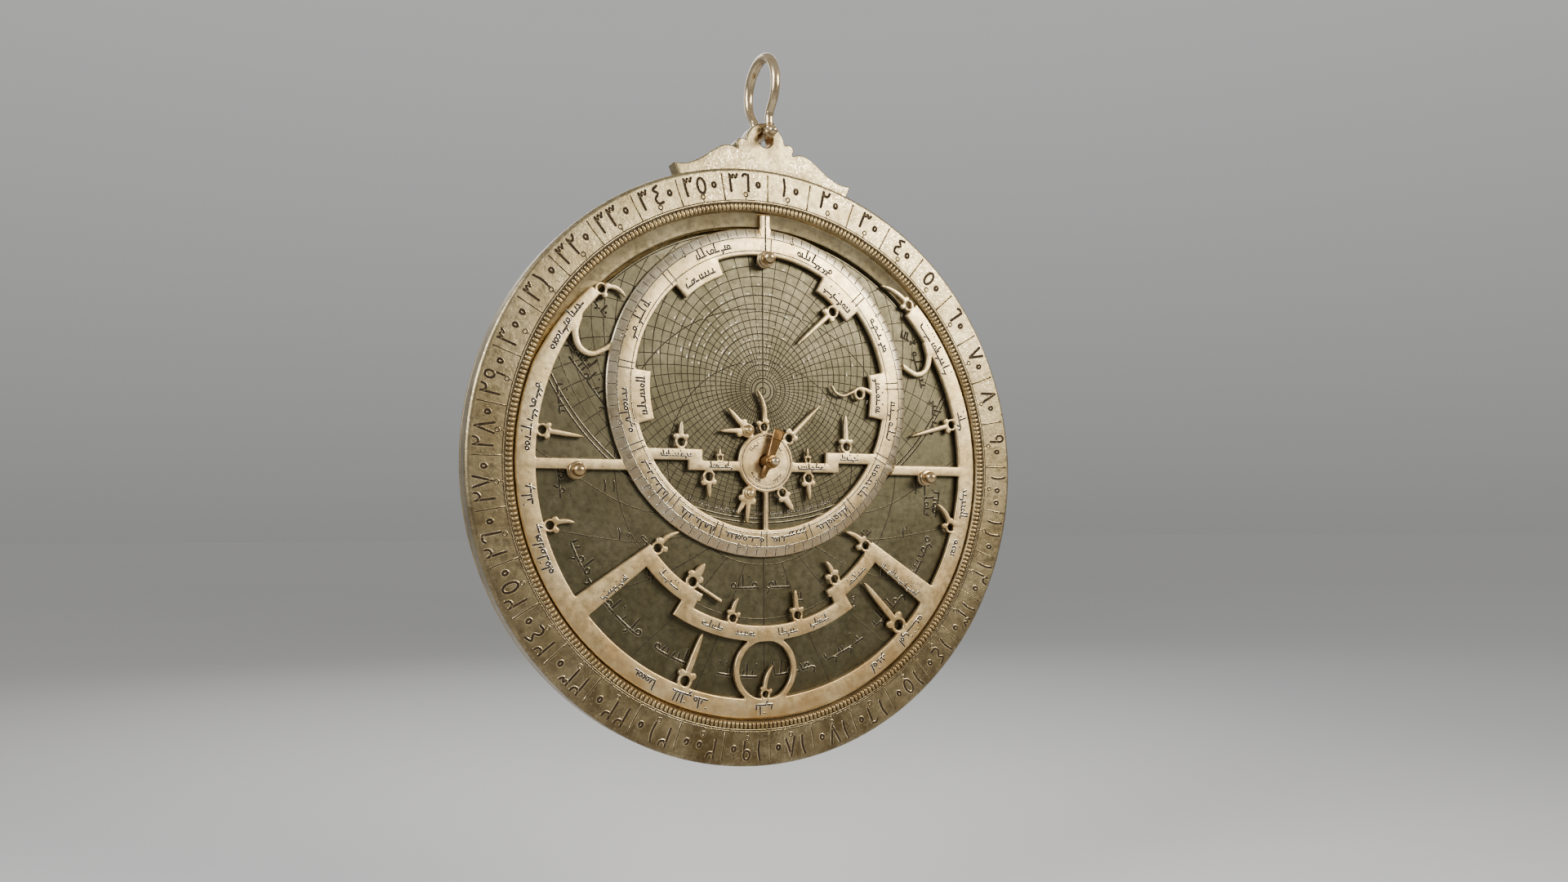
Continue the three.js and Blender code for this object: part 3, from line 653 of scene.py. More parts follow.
def flourish(width, height, seed):
    """An abstract ornament of pins, loops and hooks on short base lines, centred on (0, 0)."""
    dice = random.Random(seed)
    strokes = []
    x, base, unit = -width / 2, -height * 0.22, height * 0.3
    while x < width / 2 - unit:
        end = min(width / 2, x + unit * dice.uniform(2.5, 6))
        strokes.append(np.linspace((x, base), (end, base), 4))
        at = x
        while at <= end:
            kind = dice.choice(("low", "low", "tall", "loop", "hook", "dot"))
            if kind in ("low", "tall"):
                rise = height * (0.72 if kind == "tall" else 0.34)
                lean = dice.uniform(-0.12, 0.12) * height
                strokes.append(np.array([(at, base), (at + lean, base + rise)]))
            elif kind == "loop":
                strokes.append(np.array(ring_points(at, base + unit * 0.5, unit * 0.45, unit * 0.45, 8)))
            elif kind == "hook":
                hook = [(at, base), (at + unit * 0.6, base - unit * 0.35), (at + unit * 0.2, base - unit)]
                strokes.append(smooth(hook, 3))
            else:
                strokes.append(np.array([(at, base + unit * 2.1), (at + 0.15, base + unit * 2.1)]))
            at += unit * dice.uniform(0.85, 1.4)
        x = end + unit * dice.uniform(0.5, 0.9)
    return strokes


def set_at(strokes, at, lean):
    """Strokes moved to a point, with their up direction lean degrees clockwise from the top."""
    turn = math.radians(lean)
    right = np.array([math.cos(turn), -math.sin(turn)])
    up = np.array([math.sin(turn), math.cos(turn)])
    return [np.asarray(at) + s[:, :1] * right + s[:, 1:] * up for s in strokes]


def bent_round(strokes, radius, angle, centre=(0, 0), outward=True):
    """Strokes bent along a circle, with their up direction outward from the centre or inward."""
    way = 1 if outward else -1
    return [
        polar(radius + way * s[:, 1], angle + way * np.degrees(s[:, 0] / radius), centre) for s in strokes
    ]


# ---- Materials ----

BUMP_M = 0.0001
TARNISH_AND_SHADE_Z_M = (-0.185, -0.075)  # heights between which tarnished blotches and painted shade thin out upwards
SPARKLE_FLECK_Z_M = (-0.12, -0.03)  # heights between which the bright flecks, painted sparkle, thicken towards the top
SPARKLE_FLECK_TONE = (0.95, 0.84, 0.6, 1)


class Nodes:
    """A material whose nodes are laid down with short calls."""

    def __init__(self, name):
        self.material = bpy.data.materials.new(name)
        self.material.use_nodes = True
        self.tree = self.material.node_tree
        self.shader = self.tree.nodes["Principled BSDF"]
        self.where = self.tree.nodes.new("ShaderNodeTexCoord").outputs["Object"]

    def add(self, kind, links=None, **settings):
        node = self.tree.nodes.new(kind)
        for key, value in settings.items():
            setattr(node, key, value)
        for key, value in (links or {}).items():
            socket = node.inputs[key]
            if isinstance(value, bpy.types.NodeSocket):
                self.tree.links.new(value, socket)
            else:
                socket.default_value = value
        return node

    def noise(self, size_m, detail=3.0, rough=0.55):
        links = {"Vector": self.where, "Scale": 1 / size_m, "Detail": detail, "Roughness": rough}
        return self.add("ShaderNodeTexNoise", links).outputs["Fac"]

    def ramp(self, value, low, high, to_low=0.0, to_high=1.0):
        links = {"Value": value, "From Min": low, "From Max": high, "To Min": to_low, "To Max": to_high}
        return self.add("ShaderNodeMapRange", links).outputs["Result"]

    def mix(self, factor, a, b):
        return self.add("ShaderNodeMix", {0: factor, 6: a, 7: b}, data_type="RGBA").outputs[2]

    def maths(self, operation, a, b):
        return self.add("ShaderNodeMath", {0: a, 1: b}, operation=operation).outputs[0]

    def axis(self, name):
        return self.add("ShaderNodeSeparateXYZ", {"Vector": self.where}).outputs[name]

    def finish(self, tone, height, strength):
        """Gives the shader its colour, and a bump from a height."""
        bump = self.add("ShaderNodeBump", {"Height": height, "Strength": strength, "Distance": BUMP_M})
        self.tree.links.new(tone, self.shader.inputs["Base Color"])
        self.tree.links.new(bump.outputs["Normal"], self.shader.inputs["Normal"])
        return self.material


def colour(red, green, blue):
    """A screen colour from 0 to 255, as the linear colour that a shader takes."""
    linear = [((c / 255 + 0.055) / 1.055) ** 2.4 if c > 10 else c / 255 / 12.92 for c in (red, green, blue)]
    return (*linear, 1.0)


def groove(name, clean, worn):
    """The dark in an engraved line and in the beads' hollow: dirt, and painted shade; dull, dark and cloudy.
    """
    made = Nodes(name)
    tone = made.mix(made.ramp(made.noise(0.002, 4, 0.6), 0.35, 0.65), colour(*clean), colour(*worn))
    made.shader.inputs["Roughness"].default_value = 0.7
    made.shader.inputs["Specular IOR Level"].default_value = 0.12
    return made.finish(tone, made.noise(0.0006), 0.3)


def brass(name, clean, worn, dark, roughness, grain=0.25, fleck=0.0, metallic=0.9, tarnish_and_shade=None):
    """Brass with cloudy tone, dark pits, fine grain, and bright rubbed flecks gathered in patches,
    which are also painted sparkle, thicker towards the top.

    tarnish_and_shade is the tone of the blotches that thicken towards the disc's foot: tarnished patches,
    with painted shade.
    """
    made = Nodes(name)
    clean, worn, dark = colour(*clean), colour(*worn), colour(*dark)
    clouds = made.ramp(made.noise(0.011, 4, 0.6), 0.35, 0.65)
    mottle = made.ramp(made.noise(0.0022, 5, 0.65), 0.46, 0.7, 0.0, 0.45)
    pits = made.ramp(made.noise(0.0005, 2, 0.5), 0.62, 0.74, 0.0, 0.5)
    tone = made.mix(clouds, clean, worn)
    tone = made.mix(mottle, tone, dark)
    tone = made.mix(pits, tone, dark)
    if tarnish_and_shade:
        # Painted shade: tarnished blotches that thicken towards the disc's foot.
        low = made.ramp(made.axis("Z"), *TARNISH_AND_SHADE_Z_M, 1.0, 0.0)
        blotches = made.ramp(made.noise(0.006, 5, 0.65), 0.3, 0.62, 0.25, 1.0)
        tone = made.mix(made.maths("MULTIPLY", low, blotches), tone, colour(*tarnish_and_shade))
    rubbed = made.noise(0.0008, 4, 0.7)
    rough = made.ramp(made.noise(0.0016, 4, 0.6), 0.3, 0.7, roughness - 0.07, roughness + 0.1)
    # Painted sparkle: rubbed flecks in a near-white tone, gathered towards the top.
    if fleck:
        specks = made.noise(0.0006, 4, 0.7)
        patches = made.ramp(made.noise(0.01, 4, 0.65), 0.42, 0.56)
        height = made.ramp(made.axis("Z"), *SPARKLE_FLECK_Z_M, 0.25, 1.0)
        gathered = made.maths("MULTIPLY", patches, height)
        flecks = made.maths("MULTIPLY", made.ramp(specks, 0.52, 0.62, 0.0, fleck), gathered)
        tone = made.mix(flecks, tone, SPARKLE_FLECK_TONE)
        rough = made.maths("SUBTRACT", rough, made.maths("MULTIPLY", flecks, 0.3))
    swells = made.noise(0.004, 3, 0.5)
    surface = made.maths("ADD", rubbed, made.maths("MULTIPLY", swells, 1.5))
    made.tree.links.new(rough, made.shader.inputs["Roughness"])
    made.shader.inputs["Metallic"].default_value = metallic
    return made.finish(tone, surface, grain)


# Materials given tarnish_and_shade darken in blotches towards the disc's foot: tarnished patches and painted
# shade.
LIMB = brass(
    "limb_brass", (166, 150, 115), (140, 124, 91), (78, 66, 46), 0.33, 0.6, 0.62, tarnish_and_shade=(82, 66, 40)
)
# A smoother brass for the recessed ledge; its lighter tone is painted light.
LIT_LEDGE = brass("ledge_brass_lit", (178, 163, 128), (160, 143, 107), (120, 102, 72), 0.3, 0.2)
BEAD = brass("bead_brass", (202, 182, 138), (174, 152, 110), (96, 79, 54), 0.3, 0.3, tarnish_and_shade=(132, 108, 70))
# Painted shade: the dark floor of the beads' hollow, between the beads.
CHANNEL_SHADE = groove("limb_channel_shade", (100, 82, 56), (76, 60, 42))
# Dirt and painted shade in the limb's and the back's engraved lines.
LIMB_CUT = groove("limb_groove", (54, 41, 30), (36, 27, 20))
# Lighter brass on the limb's raised burrs: painted highlight.
LIMB_BURR_HIGHLIGHT = brass("limb_burr_highlight", (214, 194, 148), (184, 162, 114), (110, 92, 58), 0.24, 0.6)
RETE = brass(
    "rete_brass", (222, 200, 157), (202, 176, 128), (134, 108, 68), 0.34, 0.4, tarnish_and_shade=(166, 132, 84)
)
RETE_BAND = brass(
    "rete_tick_band", (206, 193, 166), (184, 168, 136), (118, 100, 70), 0.3, 0.3, tarnish_and_shade=(150, 114, 74)
)
# Dirt and painted shade in the rete's and the alidade's engraved lines.
RETE_CUT = groove("rete_groove", (52, 38, 27), (36, 26, 19))
# Near-white brass on the rete's and the alidade's raised burrs: painted highlight.
RETE_BURR_HIGHLIGHT = brass("rete_burr_highlight", (255, 248, 226), (240, 226, 192), (186, 164, 124), 0.22, 0.5)
PLATE = brass("plate_brass", (100, 94, 75), (80, 75, 57), (50, 46, 34), 0.36, 0.2, tarnish_and_shade=(74, 67, 45))
# Dirt and painted shade in the plate's engraved lines.
PLATE_CUT = groove("plate_groove", (48, 41, 30), (34, 29, 21))
# Lighter brass on the plate's raised burrs: painted highlight.
PLATE_BURR_HIGHLIGHT = brass("plate_burr_highlight", (124, 115, 92), (102, 93, 70), (66, 58, 42), 0.34, 0.4)
# Lighter brass on the horizon's lines, the hour numbers and the ornaments' burrs, and in the meridian
# numbers' hollows: painted highlight.
PLATE_EDGE_HIGHLIGHT = brass("plate_edge_highlight", (176, 166, 136), (146, 136, 108), (96, 86, 62), 0.28, 0.4)
# Near-white brass for painted glints: bright strokes that stand for highlights on the plate.
PAINTED_GLINT = brass("plate_painted_glint", (255, 246, 222), (236, 222, 190), (160, 144, 112), 0.22, 0.5, metallic=0.6)
POLISHED = brass("polished_brass", (202, 182, 148), (186, 163, 126), (158, 132, 96), 0.17, 0.04)
KNOB = brass("knob_bronze", (198, 174, 134), (170, 143, 102), (112, 88, 58), 0.22, 0.15)
BRONZE = brass("wedge_bronze", (148, 112, 68), (120, 88, 50), (70, 48, 28), 0.3, 0.4)
BACK = brass("back_brass", (168, 147, 103), (142, 121, 80), (88, 72, 46), 0.32, 0.35, tarnish_and_shade=(124, 101, 62))
# A lighter golden tone for the throne's bore: painted light where the bore lies in shade.
HOLE_PAINTED_LIGHT = brass("hole_painted_light", (218, 172, 112), (190, 142, 86), (132, 94, 56), 0.4, 0.3)
HIDDEN = brass("inner_brass", (120, 108, 80), (100, 88, 62), (70, 60, 44), 0.5)

# ---- Mater ----

CHANNEL_Y = 0.42  # how deep the hollow lies in which the beads sit
LIMB_ROUND = 1.15


def limb():
    """The raised ring, with the beads' hollow and the inner ledge that the rete's rim turns over."""
    turns = np.radians(np.linspace(0, 90, 9))
    rounded = [
        [LIMB_RADIUS - LIMB_ROUND + LIMB_ROUND * math.sin(t), LIMB_ROUND - LIMB_ROUND * math.cos(t)]
        for t in turns
    ]
    profile = [
        [LEDGE_BORE, RING_BACK],
        [LEDGE_BORE, LEDGE_FRONT + 0.35], [LEDGE_BORE + 0.1, LEDGE_FRONT + 0.1],
        [LEDGE_BORE + 0.35, LEDGE_FRONT], [LIMB_BORE - 0.15, LEDGE_FRONT],
        [LIMB_BORE, LEDGE_FRONT - 0.15], [LIMB_BORE, 0.7],
        [LIMB_BORE + 0.12, 0.5], [LIMB_BORE + 0.3, CHANNEL_Y],
        [BEAD_OUTER, CHANNEL_Y], [BEAD_OUTER + 0.06, 0.1], [BEAD_OUTER + 0.14, 0.0],
        *rounded,
        [LIMB_RADIUS, RING_BACK - 0.15], [LIMB_RADIUS - 0.15, RING_BACK],
        [LEDGE_BORE, RING_BACK],
    ]
    mesh = Mesh()
    points, faces = lathe(profile, 360)
    middles = points[faces].mean(axis=1)
    across, depth = np.hypot(middles[:, 0], middles[:, 2]), middles[:, 1]
    # The hollow's floor under the beads is painted dark: painted shade between them.
    shaded_channel = (across > LIMB_BORE + 0.12) & (across < BEAD_OUTER + 0.1) & (depth > 0.05) & (depth < 0.6)
    # The ledge takes a lighter brass: painted light on a recessed surface.
    ledge = (across < LIMB_BORE + 0.05) & (depth < LEDGE_FRONT + 0.4)
    mesh.add(points, faces, shaded_channel + 2 * ledge)
    mesh.build("limb_ring_piece", "mater", [LIMB, CHANNEL_SHADE, LIT_LEDGE], 50, ["limb_ring"])


BEAD_Y, BEAD_RISE, BEAD_FLOOR_Y = 0.46, 0.64, 0.6
BEAD_HALF_ANGLE = 0.42


def beads():
    """A row of small barrels, one to a degree, in the hollow at the limb's inner edge."""
    mesh = Mesh()
    along = np.array([0.0, 0.1, 0.3, 0.5, 0.7, 0.9, 1.0])
    swell = np.sqrt(np.clip(1 - (2 * along - 1) ** 4, 0.05, 1))
    radius = LIMB_BORE + 0.16 + (BEAD_OUTER - LIMB_BORE - 0.14) * along
    across = np.radians([-90, -60, -30, 0, 30, 60, 90])[:, None]
    rows, columns = len(across) + 1, len(along)
    for degree in range(360):
        middle = math.radians(degree + 0.5)
        turn = middle + math.radians(BEAD_HALF_ANGLE) * np.sin(across) * (0.75 + 0.25 * swell)
        y = BEAD_Y - BEAD_RISE * np.cos(across) * swell
        turn = np.vstack([turn, np.full((1, columns), middle)])
        y = np.vstack([y, np.full((1, columns), BEAD_FLOOR_Y)])
        points = np.stack([radius * np.sin(turn), y, radius * np.cos(turn)], axis=-1)
        faces = grid_faces(rows, columns, True).tolist()
        for column, step in ((0, -1), (columns - 1, 1)):
            ring = [row * columns + column for row in range(rows)][::step]
            faces += [[ring[i], ring[i + 1], ring[-2 - i], ring[-1 - i]] for i in range(rows // 2 - 1)]
        mesh.add(points, np.array(faces))
    mesh.build("limb_beads", "mater", [BEAD], 80)


CELL_RING_RADIUS, TICK_END = 70.35, 69.7
NUMBER_RADIUS, NUMBER_HEIGHT, NUMBER_PITCH = 73.5, 4.7, 0.76


def limb_engraving():
    """The double line, and 36 cells with a divider, a small ring, a tick and a number each."""
    mesh = Mesh()
    face = flat_at(0.0)
    for radius in DOUBLE_LINE:
        engrave(mesh, circle_line((0, 0), radius), 0.26, face, closed=True, burr=0.012, lip=0.3)
    for cell in range(36):
        start = cell * 10
        wander = random.Random(cell).uniform(-0.25, 0.25)
        divider = spoke(CELL_INNER, CELL_OUTER, start + wander, 5)
        engrave(mesh, divider, 0.28, face, burr=0.1, lip=0.9)
        ring = circle_line(polar(CELL_RING_RADIUS, start + 5), 0.55, 0.35)
        engrave(mesh, ring, 0.3, face, closed=True, burr=0.05)
        engrave(mesh, spoke(CELL_INNER, TICK_END, start + 5), 0.24, face, burr=0.02)
        number = numeral(start + 10, NUMBER_HEIGHT, NUMBER_PITCH)
        for stroke in bent_round(number, NUMBER_RADIUS, start + 5.2 + wander):
            engrave(mesh, stroke, 0.62, face, burr=0.1, lip=0.45)
    mesh.build("limb_engraving", "mater", [LIMB_BURR_HIGHLIGHT, LIMB_CUT], 80)


def mater_back():
    """The mater's back plate, with its outer back edge rounded."""
    soft = 0.7
    turns = np.radians([0, 22, 45, 68, 90])
    edge = [
        [LIMB_RADIUS - soft + soft * math.cos(t), MATER_BACK - soft + soft * math.sin(t)] for t in turns
    ]
    profile = [
        [BORE_RADIUS, MATER_BACK - 0.1],
        [BORE_RADIUS, MATER_FRONT],
        [LIMB_RADIUS - 0.12, MATER_FRONT], [LIMB_RADIUS, MATER_FRONT + 0.12],
        *edge,
        [BORE_RADIUS + 0.1, MATER_BACK], [BORE_RADIUS, MATER_BACK - 0.1],
    ]
    turned_piece("mater_back", "mater", BACK, 50, profile, 360)


def rivets():
    """The rivets through the ring and the back plate, with heads just proud of the back."""
    proud = 0.1
    for index in range(1, 9):
        name = f"limb_rivet_{index}"
        low, high = (np.array((Vector(corner) - CENTRE_M) / MM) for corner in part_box(name))
        radius = (high[0] - low[0]) / 2
        profile = [
            [0.0, low[1]], [radius, low[1]], [radius, MATER_BACK],
            [radius - 0.12, MATER_BACK + proud * 0.7], [radius * 0.5, MATER_BACK + proud],
            [0.0, MATER_BACK + proud],
        ]
        middle = (low[0] + high[0]) / 2, (low[2] + high[2]) / 2
        turned_piece(name, "mater", BEAD, 40, profile, 32, middle)


BACK_RINGS = (76.0, 73.6, 69.4, 66.0, 62.6, 58.2, 55.8)  # the altitude scale's, then the calendar's
SQUARE_HALF = 36
CLEAR_OF_HUB = 11


def back_engraving():
    """The back's scales: altitudes and a calendar ring, and inside them hour arcs and a shadow square."""
    mesh = Mesh()
    face = flat_at(MATER_BACK)
    edge, degrees, fives, days, tens, _, inner = BACK_RINGS

    def cut(lines, width=0.26, closed=False):
        for line in lines:
            engrave(mesh, line, width, face, closed, 0.03, 1.0, 0.45)

    cut([circle_line((0, 0), radius) for radius in BACK_RINGS], closed=True)
    cut([spoke(degrees if degree % 5 else fives, edge, degree) for degree in range(360)], 0.16)
    cut([spoke(days - (1.2 if step % 10 else 3.4), days, step * 3) for step in range(120)], 0.16)
    for month in range(12):
        cut([spoke(inner, tens, month * 30 + 7)], 0.2)
        cut(bent_round(flourish(14, 2.6, 300 + month), 60.2, month * 30 + 22))
    for quarter in range(4):
        for value in range(5, 95, 5):
            angle = quarter * 90 + (value - 2.5 if quarter % 2 else 92.5 - value)
            mirrored = [stroke * [-1, 1] for stroke in numeral(value, 2.2)]
            cut(bent_round(mirrored, 71.5, angle))
    arms = ((-inner, -CLEAR_OF_HUB), (CLEAR_OF_HUB, inner))
    cut([np.linspace((start, 0), (end, 0), 3) for start, end in arms])
    cut([np.linspace((0, start), (0, end), 3) for start, end in arms])
    for hour in range(1, 6):
        centre_z = inner / 2 / math.sin(math.radians(90 - hour * 15))
        for side in (-1, 1):
            arc = circle_line((0, centre_z), centre_z, 0.9) * [side, 1]
            away = np.hypot(*arc.T)
            good = (away < inner - 0.3) & (arc[:, 0] * side > 0.5) & (arc[:, 1] > 0.5)
            cut(runs(arc, good & (away > CLEAR_OF_HUB)), 0.18)
    for inset in (0.0, 2.2, 5.2):
        half = SQUARE_HALF - inset
        for side in (-1, 1):
            cut([np.linspace((side * half, -1.0), (side * half, -half), 4)])
            cut([np.linspace((side * 0.6, -half), (side * half, -half), 4)])
    for step in range(1, 12):
        along, tip = 3 * step, 33.8 if step % 3 else 30.8
        for side in (-1, 1):
            cut([[(side * SQUARE_HALF, -along), (side * tip, -along)]], 0.18)
            cut([[(side * along, -SQUARE_HALF), (side * along, -tip)]], 0.18)
    mesh.build("back_engraving", "mater", [BACK, LIMB_CUT], 80)


SHOULDER = ((25.8, 76.4), (22.3, 76.8), (18.6, 78.6), (15.0, 81.3), (12.3, 82.9), (10.2, 83.2), (8.2, 82.7))
THRONE_FRONT, THRONE_BACK = 0.7, 5.3
SEAT_RADIUS = LIMB_RADIUS - 0.5  # inside the limb's rounded edge, so that no gap shows
SEAT_END = 18.5  # the half angle that the throne spans on the rim
CROWN = (0, 84.7)
CROWN_RADIUS = 5.7
LOBE_X, LOBE_Z, LOBE_RADIUS = 6.75, 83.9, 1.65
THRONE_HOLE_RADIUS = 2.12


def throne():
    """The flat plate that the shackle's pin runs through, seated on the limb's rim."""
    right = smooth(SHOULDER, 6)
    left = (right * [-1, 1])[::-1]
    seat = polar(SEAT_RADIUS, np.linspace(-SEAT_END, SEAT_END, 60))
    field = Field((-28, 72), (28, 92.5), 0.1)
    field.add(polygon(np.vstack([seat, right, left])))
    field.disc(CROWN, CROWN_RADIUS)
    for side in (-1, 1):
        field.disc((side * LOBE_X, LOBE_Z), LOBE_RADIUS, 0.3)
    field.hole((0, THRONE_HOLE_Z), THRONE_HOLE_RADIUS)
    points, blocks = relief(field, THRONE_FRONT, THRONE_BACK, rounding=0.45, back_rounding=0.35)
    middles = [points[faces].mean(axis=1) for faces in blocks]
    # The bore's wall takes a lighter golden tone: painted light where the bore lies in shade.
    painted_light_bore = [np.hypot(m[:, 0], m[:, 2] - THRONE_HOLE_Z) < THRONE_HOLE_RADIUS + 0.05 for m in middles]
    mesh = Mesh()
    mesh.add(points, blocks, painted_light_bore)
    mesh.build("throne_piece", "mater", [LIMB, HOLE_PAINTED_LIGHT], 35, ["throne"])


# ---- Plate ----


def plate():
    """The uppermost plate, a flat disc round the centre pin."""
    profile = [
        [BORE_RADIUS, PLATE_BACK], [BORE_RADIUS, PLATE_FRONT],
        [PLATE_RADIUS - 0.2, PLATE_FRONT], [PLATE_RADIUS, PLATE_FRONT + 0.2],
        [PLATE_RADIUS, PLATE_BACK], [BORE_RADIUS, PLATE_BACK],
    ]
    turned_piece("plate_1", "mater", PLATE, 40, profile, 256)


def altitude_circle(altitude):
    """Centre height and radius of a circle of equal altitude on the plate."""
    below = math.sin(LATITUDE) + math.sin(math.radians(altitude))
    return EQUATOR * math.cos(LATITUDE) / below, EQUATOR * math.cos(math.radians(altitude)) / below


ZENITH_Z = EQUATOR * math.tan((math.pi / 2 - LATITUDE) / 2)
TROPIC = EQUATOR * math.tan(math.pi / 4 + OBLIQUITY / 2), EQUATOR * math.tan(math.pi / 4 - OBLIQUITY / 2)


def sky_lines():
    """Lines of altitude and azimuth with their widths, cut off at the plate's edge, the horizon and the
    zenith's rings."""
    lines = []
    reach = PLATE_RADIUS - 0.5
    for altitude in range(3, 82, 3):
        z, radius = altitude_circle(altitude)
        line = open_circle((0, z), radius, 1.0)
        width = 0.2 if altitude % 15 else 0.27
        lines += [(run, width) for run in runs(line, np.hypot(*line.T) < reach)]
    horizon_z, horizon_radius = altitude_circle(0)
    half = EQUATOR / math.cos(LATITUDE)
    for azimuth in range(5, 180, 5):
        turn = math.radians(azimuth)
        centre = (half / math.tan(turn), ZENITH_Z - half)
        line = open_circle(centre, half / math.sin(turn), 0.9)
        away = np.hypot(line[:, 0], line[:, 1] - horizon_z)
        near = np.hypot(line[:, 0], line[:, 1] - ZENITH_Z)
        closest = 5.2 if azimuth % 10 else 3.6
        good = (np.hypot(*line.T) < reach) & (away < horizon_radius) & (near > closest)
        lines += [(run, 0.2) for run in runs(line, good)]
    return lines


def hour_lines():
    """Lines of the seasonal hours: each runs through the same share of three circles' lower arcs."""
    z, radius = altitude_circle(0)
    lines = []
    for hour in range(1, 12):
        spots = []
        for circle in (TROPIC[1], EQUATOR, TROPIC[0]):
            rise = (circle**2 + z**2 - radius**2) / (2 * circle * z)
            start = math.degrees(math.acos(max(-1, min(1, rise))))
            spots.append(polar(circle, start + (360 - 2 * start) * hour / 12))
        line = smooth(spots, 16)
        lines.append(line[np.hypot(*line.T) < PLATE_RADIUS - 0.5])
    return lines


# Ornaments on the plate: x, z, width, height, and the lean of their up direction.
PLATE_WORDS = (
    (-50.5, 27.5, 13, 4.4, 52), (-46.5, 19.0, 16, 4.4, 52), (-54.0, 14.5, 7, 3.6, 84),
    (-53.5, -6.5, 9, 4.0, 84), (-44.5, 38.0, 6, 2.8, 52), (45.5, 36.0, 5, 2.8, 20),
    (49.0, 27.0, 10, 3.6, 74), (54.0, 14.0, 9, 3.8, 92), (51.0, -8.0, 11, 4.2, 92),
    (-4.6, -31.5, 8, 4.6, 0), (4.8, -31.5, 8, 4.6, 0), (10.5, -35.5, 3, 2.8, 0),
    (-31.5, -20.5, 4, 2.6, 40), (30.5, -19.0, 4, 2.6, -40),
)
OUTER_WORDS = (
    (101, 7), (118, 12), (136, 12), (154, 12), (171, 11), (188, 11), (206, 12), (225, 12), (242, 12),
)  # the angle and the width of each ornament along the plate's edge


def plate_engraving():
    """The plate's sky lines, numbers and ornaments, with painted highlights on burrs, and painted glints
    between them.
    """
    mesh = Mesh()
    face = flat_at(PLATE_FRONT)
    reach = PLATE_RADIUS - 0.6

    def cut(lines, width, closed=False, burr=0.015, lip=0.4, paint=(0, 1)):
        for line in lines:
            engrave(mesh, line, width, face, closed, burr, lip=lip, paint=paint)

    for line, width in sky_lines():
        cut([line], width)
    cut(hour_lines(), 0.24)
    cut([circle_line((0, 0), radius, 0.9) for radius in (EQUATOR, TROPIC[1], reach)], 0.24, True)
    cut([circle_line((0, ZENITH_Z), radius, 0.5) for radius in (0.9, 2.3, 3.3)], 0.3, True, 0.02)
    z, radius = altitude_circle(0)
    for extra in (0.0, 1.1):
        line = circle_line((0, z), radius + extra, 0.8)
        cut(runs(line, np.hypot(*line.T) < reach), 0.42, burr=0.03, lip=0.35, paint=(3, 1))
    cut([np.linspace((0, -reach), (0, reach), 40)], 0.28, burr=0.03)
    cut([np.linspace((-reach, 0), (reach, 0), 40)], 0.26)
    for index, hour in enumerate(hour_lines()):
        middle = hour[len(hour) * 5 // 8]
        if abs(middle[0]) > 3:
            number = set_at(numeral(index + 1, 2.8), middle + [2.6, 1.4], 0)
            cut(number, 0.42, burr=0.05, paint=(3, 1))
    for seed, (x, z, width, height, lean) in enumerate(PLATE_WORDS):
        word = set_at(flourish(width, height, 500 + seed), (x, z), lean)
        cut(word, 0.52, burr=0.06, lip=0.35, paint=(3, 1))
    for seed, (angle, width) in enumerate(OUTER_WORDS):
        word = bent_round(flourish(width, 4.8, 540 + seed), 54.3, angle, outward=False)
        cut(word, 0.6, burr=0.06, lip=0.35, paint=(3, 1))
    horizon_words(cut)
    sparks(cut)
    materials = [PLATE_BURR_HIGHLIGHT, PLATE_CUT, PAINTED_GLINT, PLATE_EDGE_HIGHLIGHT]
    mesh.build("plate_engraving", "mater", materials, 80)


def horizon_words(cut):
    """Small ornaments along the horizon inside the ecliptic, and altitude numbers by the meridian, all
    with painted glints on their burrs; the numbers' hollows are painted highlight too.
    """
    z, radius = altitude_circle(0)
    for index in range(9):
        lean = 180 + (index - 4) * 4.6 + 1
        word = bent_round(flourish(4.2, 1.7, 560 + index), radius - 1.6, lean, (0, z), outward=False)
        cut(word, 0.3, burr=0.07, paint=(2, 1))
    for altitude in range(33, 80, 3):
        centre_z, circle = altitude_circle(altitude)
        for side in (-1, 1):
            number = set_at(numeral(altitude, 0.95), (side * 1.05, centre_z + circle + 0.6), 0)
            cut(number, 0.2, burr=0.07, paint=(2, 3))


# Where the painted glints gather most, and how far they spread.
GLINTS_MIDDLE, GLINTS_SPREAD = (-14, 37), 12


def sparks(cut):
    """Painted glints: short bright strokes beside the altitude lines, thickest to the left of the meridian.
    """
    dice = random.Random(7)
    middle_x, middle_z = GLINTS_MIDDLE
    for altitude in range(6, 76, 3):
        z, radius = altitude_circle(altitude)
        for lean in np.arange(-110, 110, math.degrees(1.6 / radius)):
            spot = polar(radius + 0.5, lean, (0, z))
            if np.hypot(spot[0], spot[1] - ECLIPTIC_Z) > 35 or spot[1] < 4:
                continue
            off = ((spot[0] - middle_x) / GLINTS_SPREAD) ** 2 + ((spot[1] - middle_z) / GLINTS_SPREAD) ** 2
            if dice.random() < 0.05 + 0.5 * math.exp(-off):
                half = math.degrees(dice.uniform(0.12, 0.55) / radius)
                line = polar(radius + 0.5, np.linspace(lean - half, lean + half, 3), (0, z))
                cut([line], 0.28, burr=0.11, paint=(2, 2))


# ---- Rete ----

HOOP, HOOP_RADIUS, HOOP_HALF = (-0.3, -53.4), 8.15, 0.75
HOOP_BOX = (-10, -63, 10, -43)  # the part of the field that holds the hoop
HOOK_LINE = ((50.3, 34.4), (51.2, 30.5), (50.0, 27.0), (47.3, 25.7), (44.6, 26.6), (41.4, 28.6))
STRUT = ((31.8, -20.9), (32.9, -26.6), (47.6, -38.1), (50.9, -33.3))

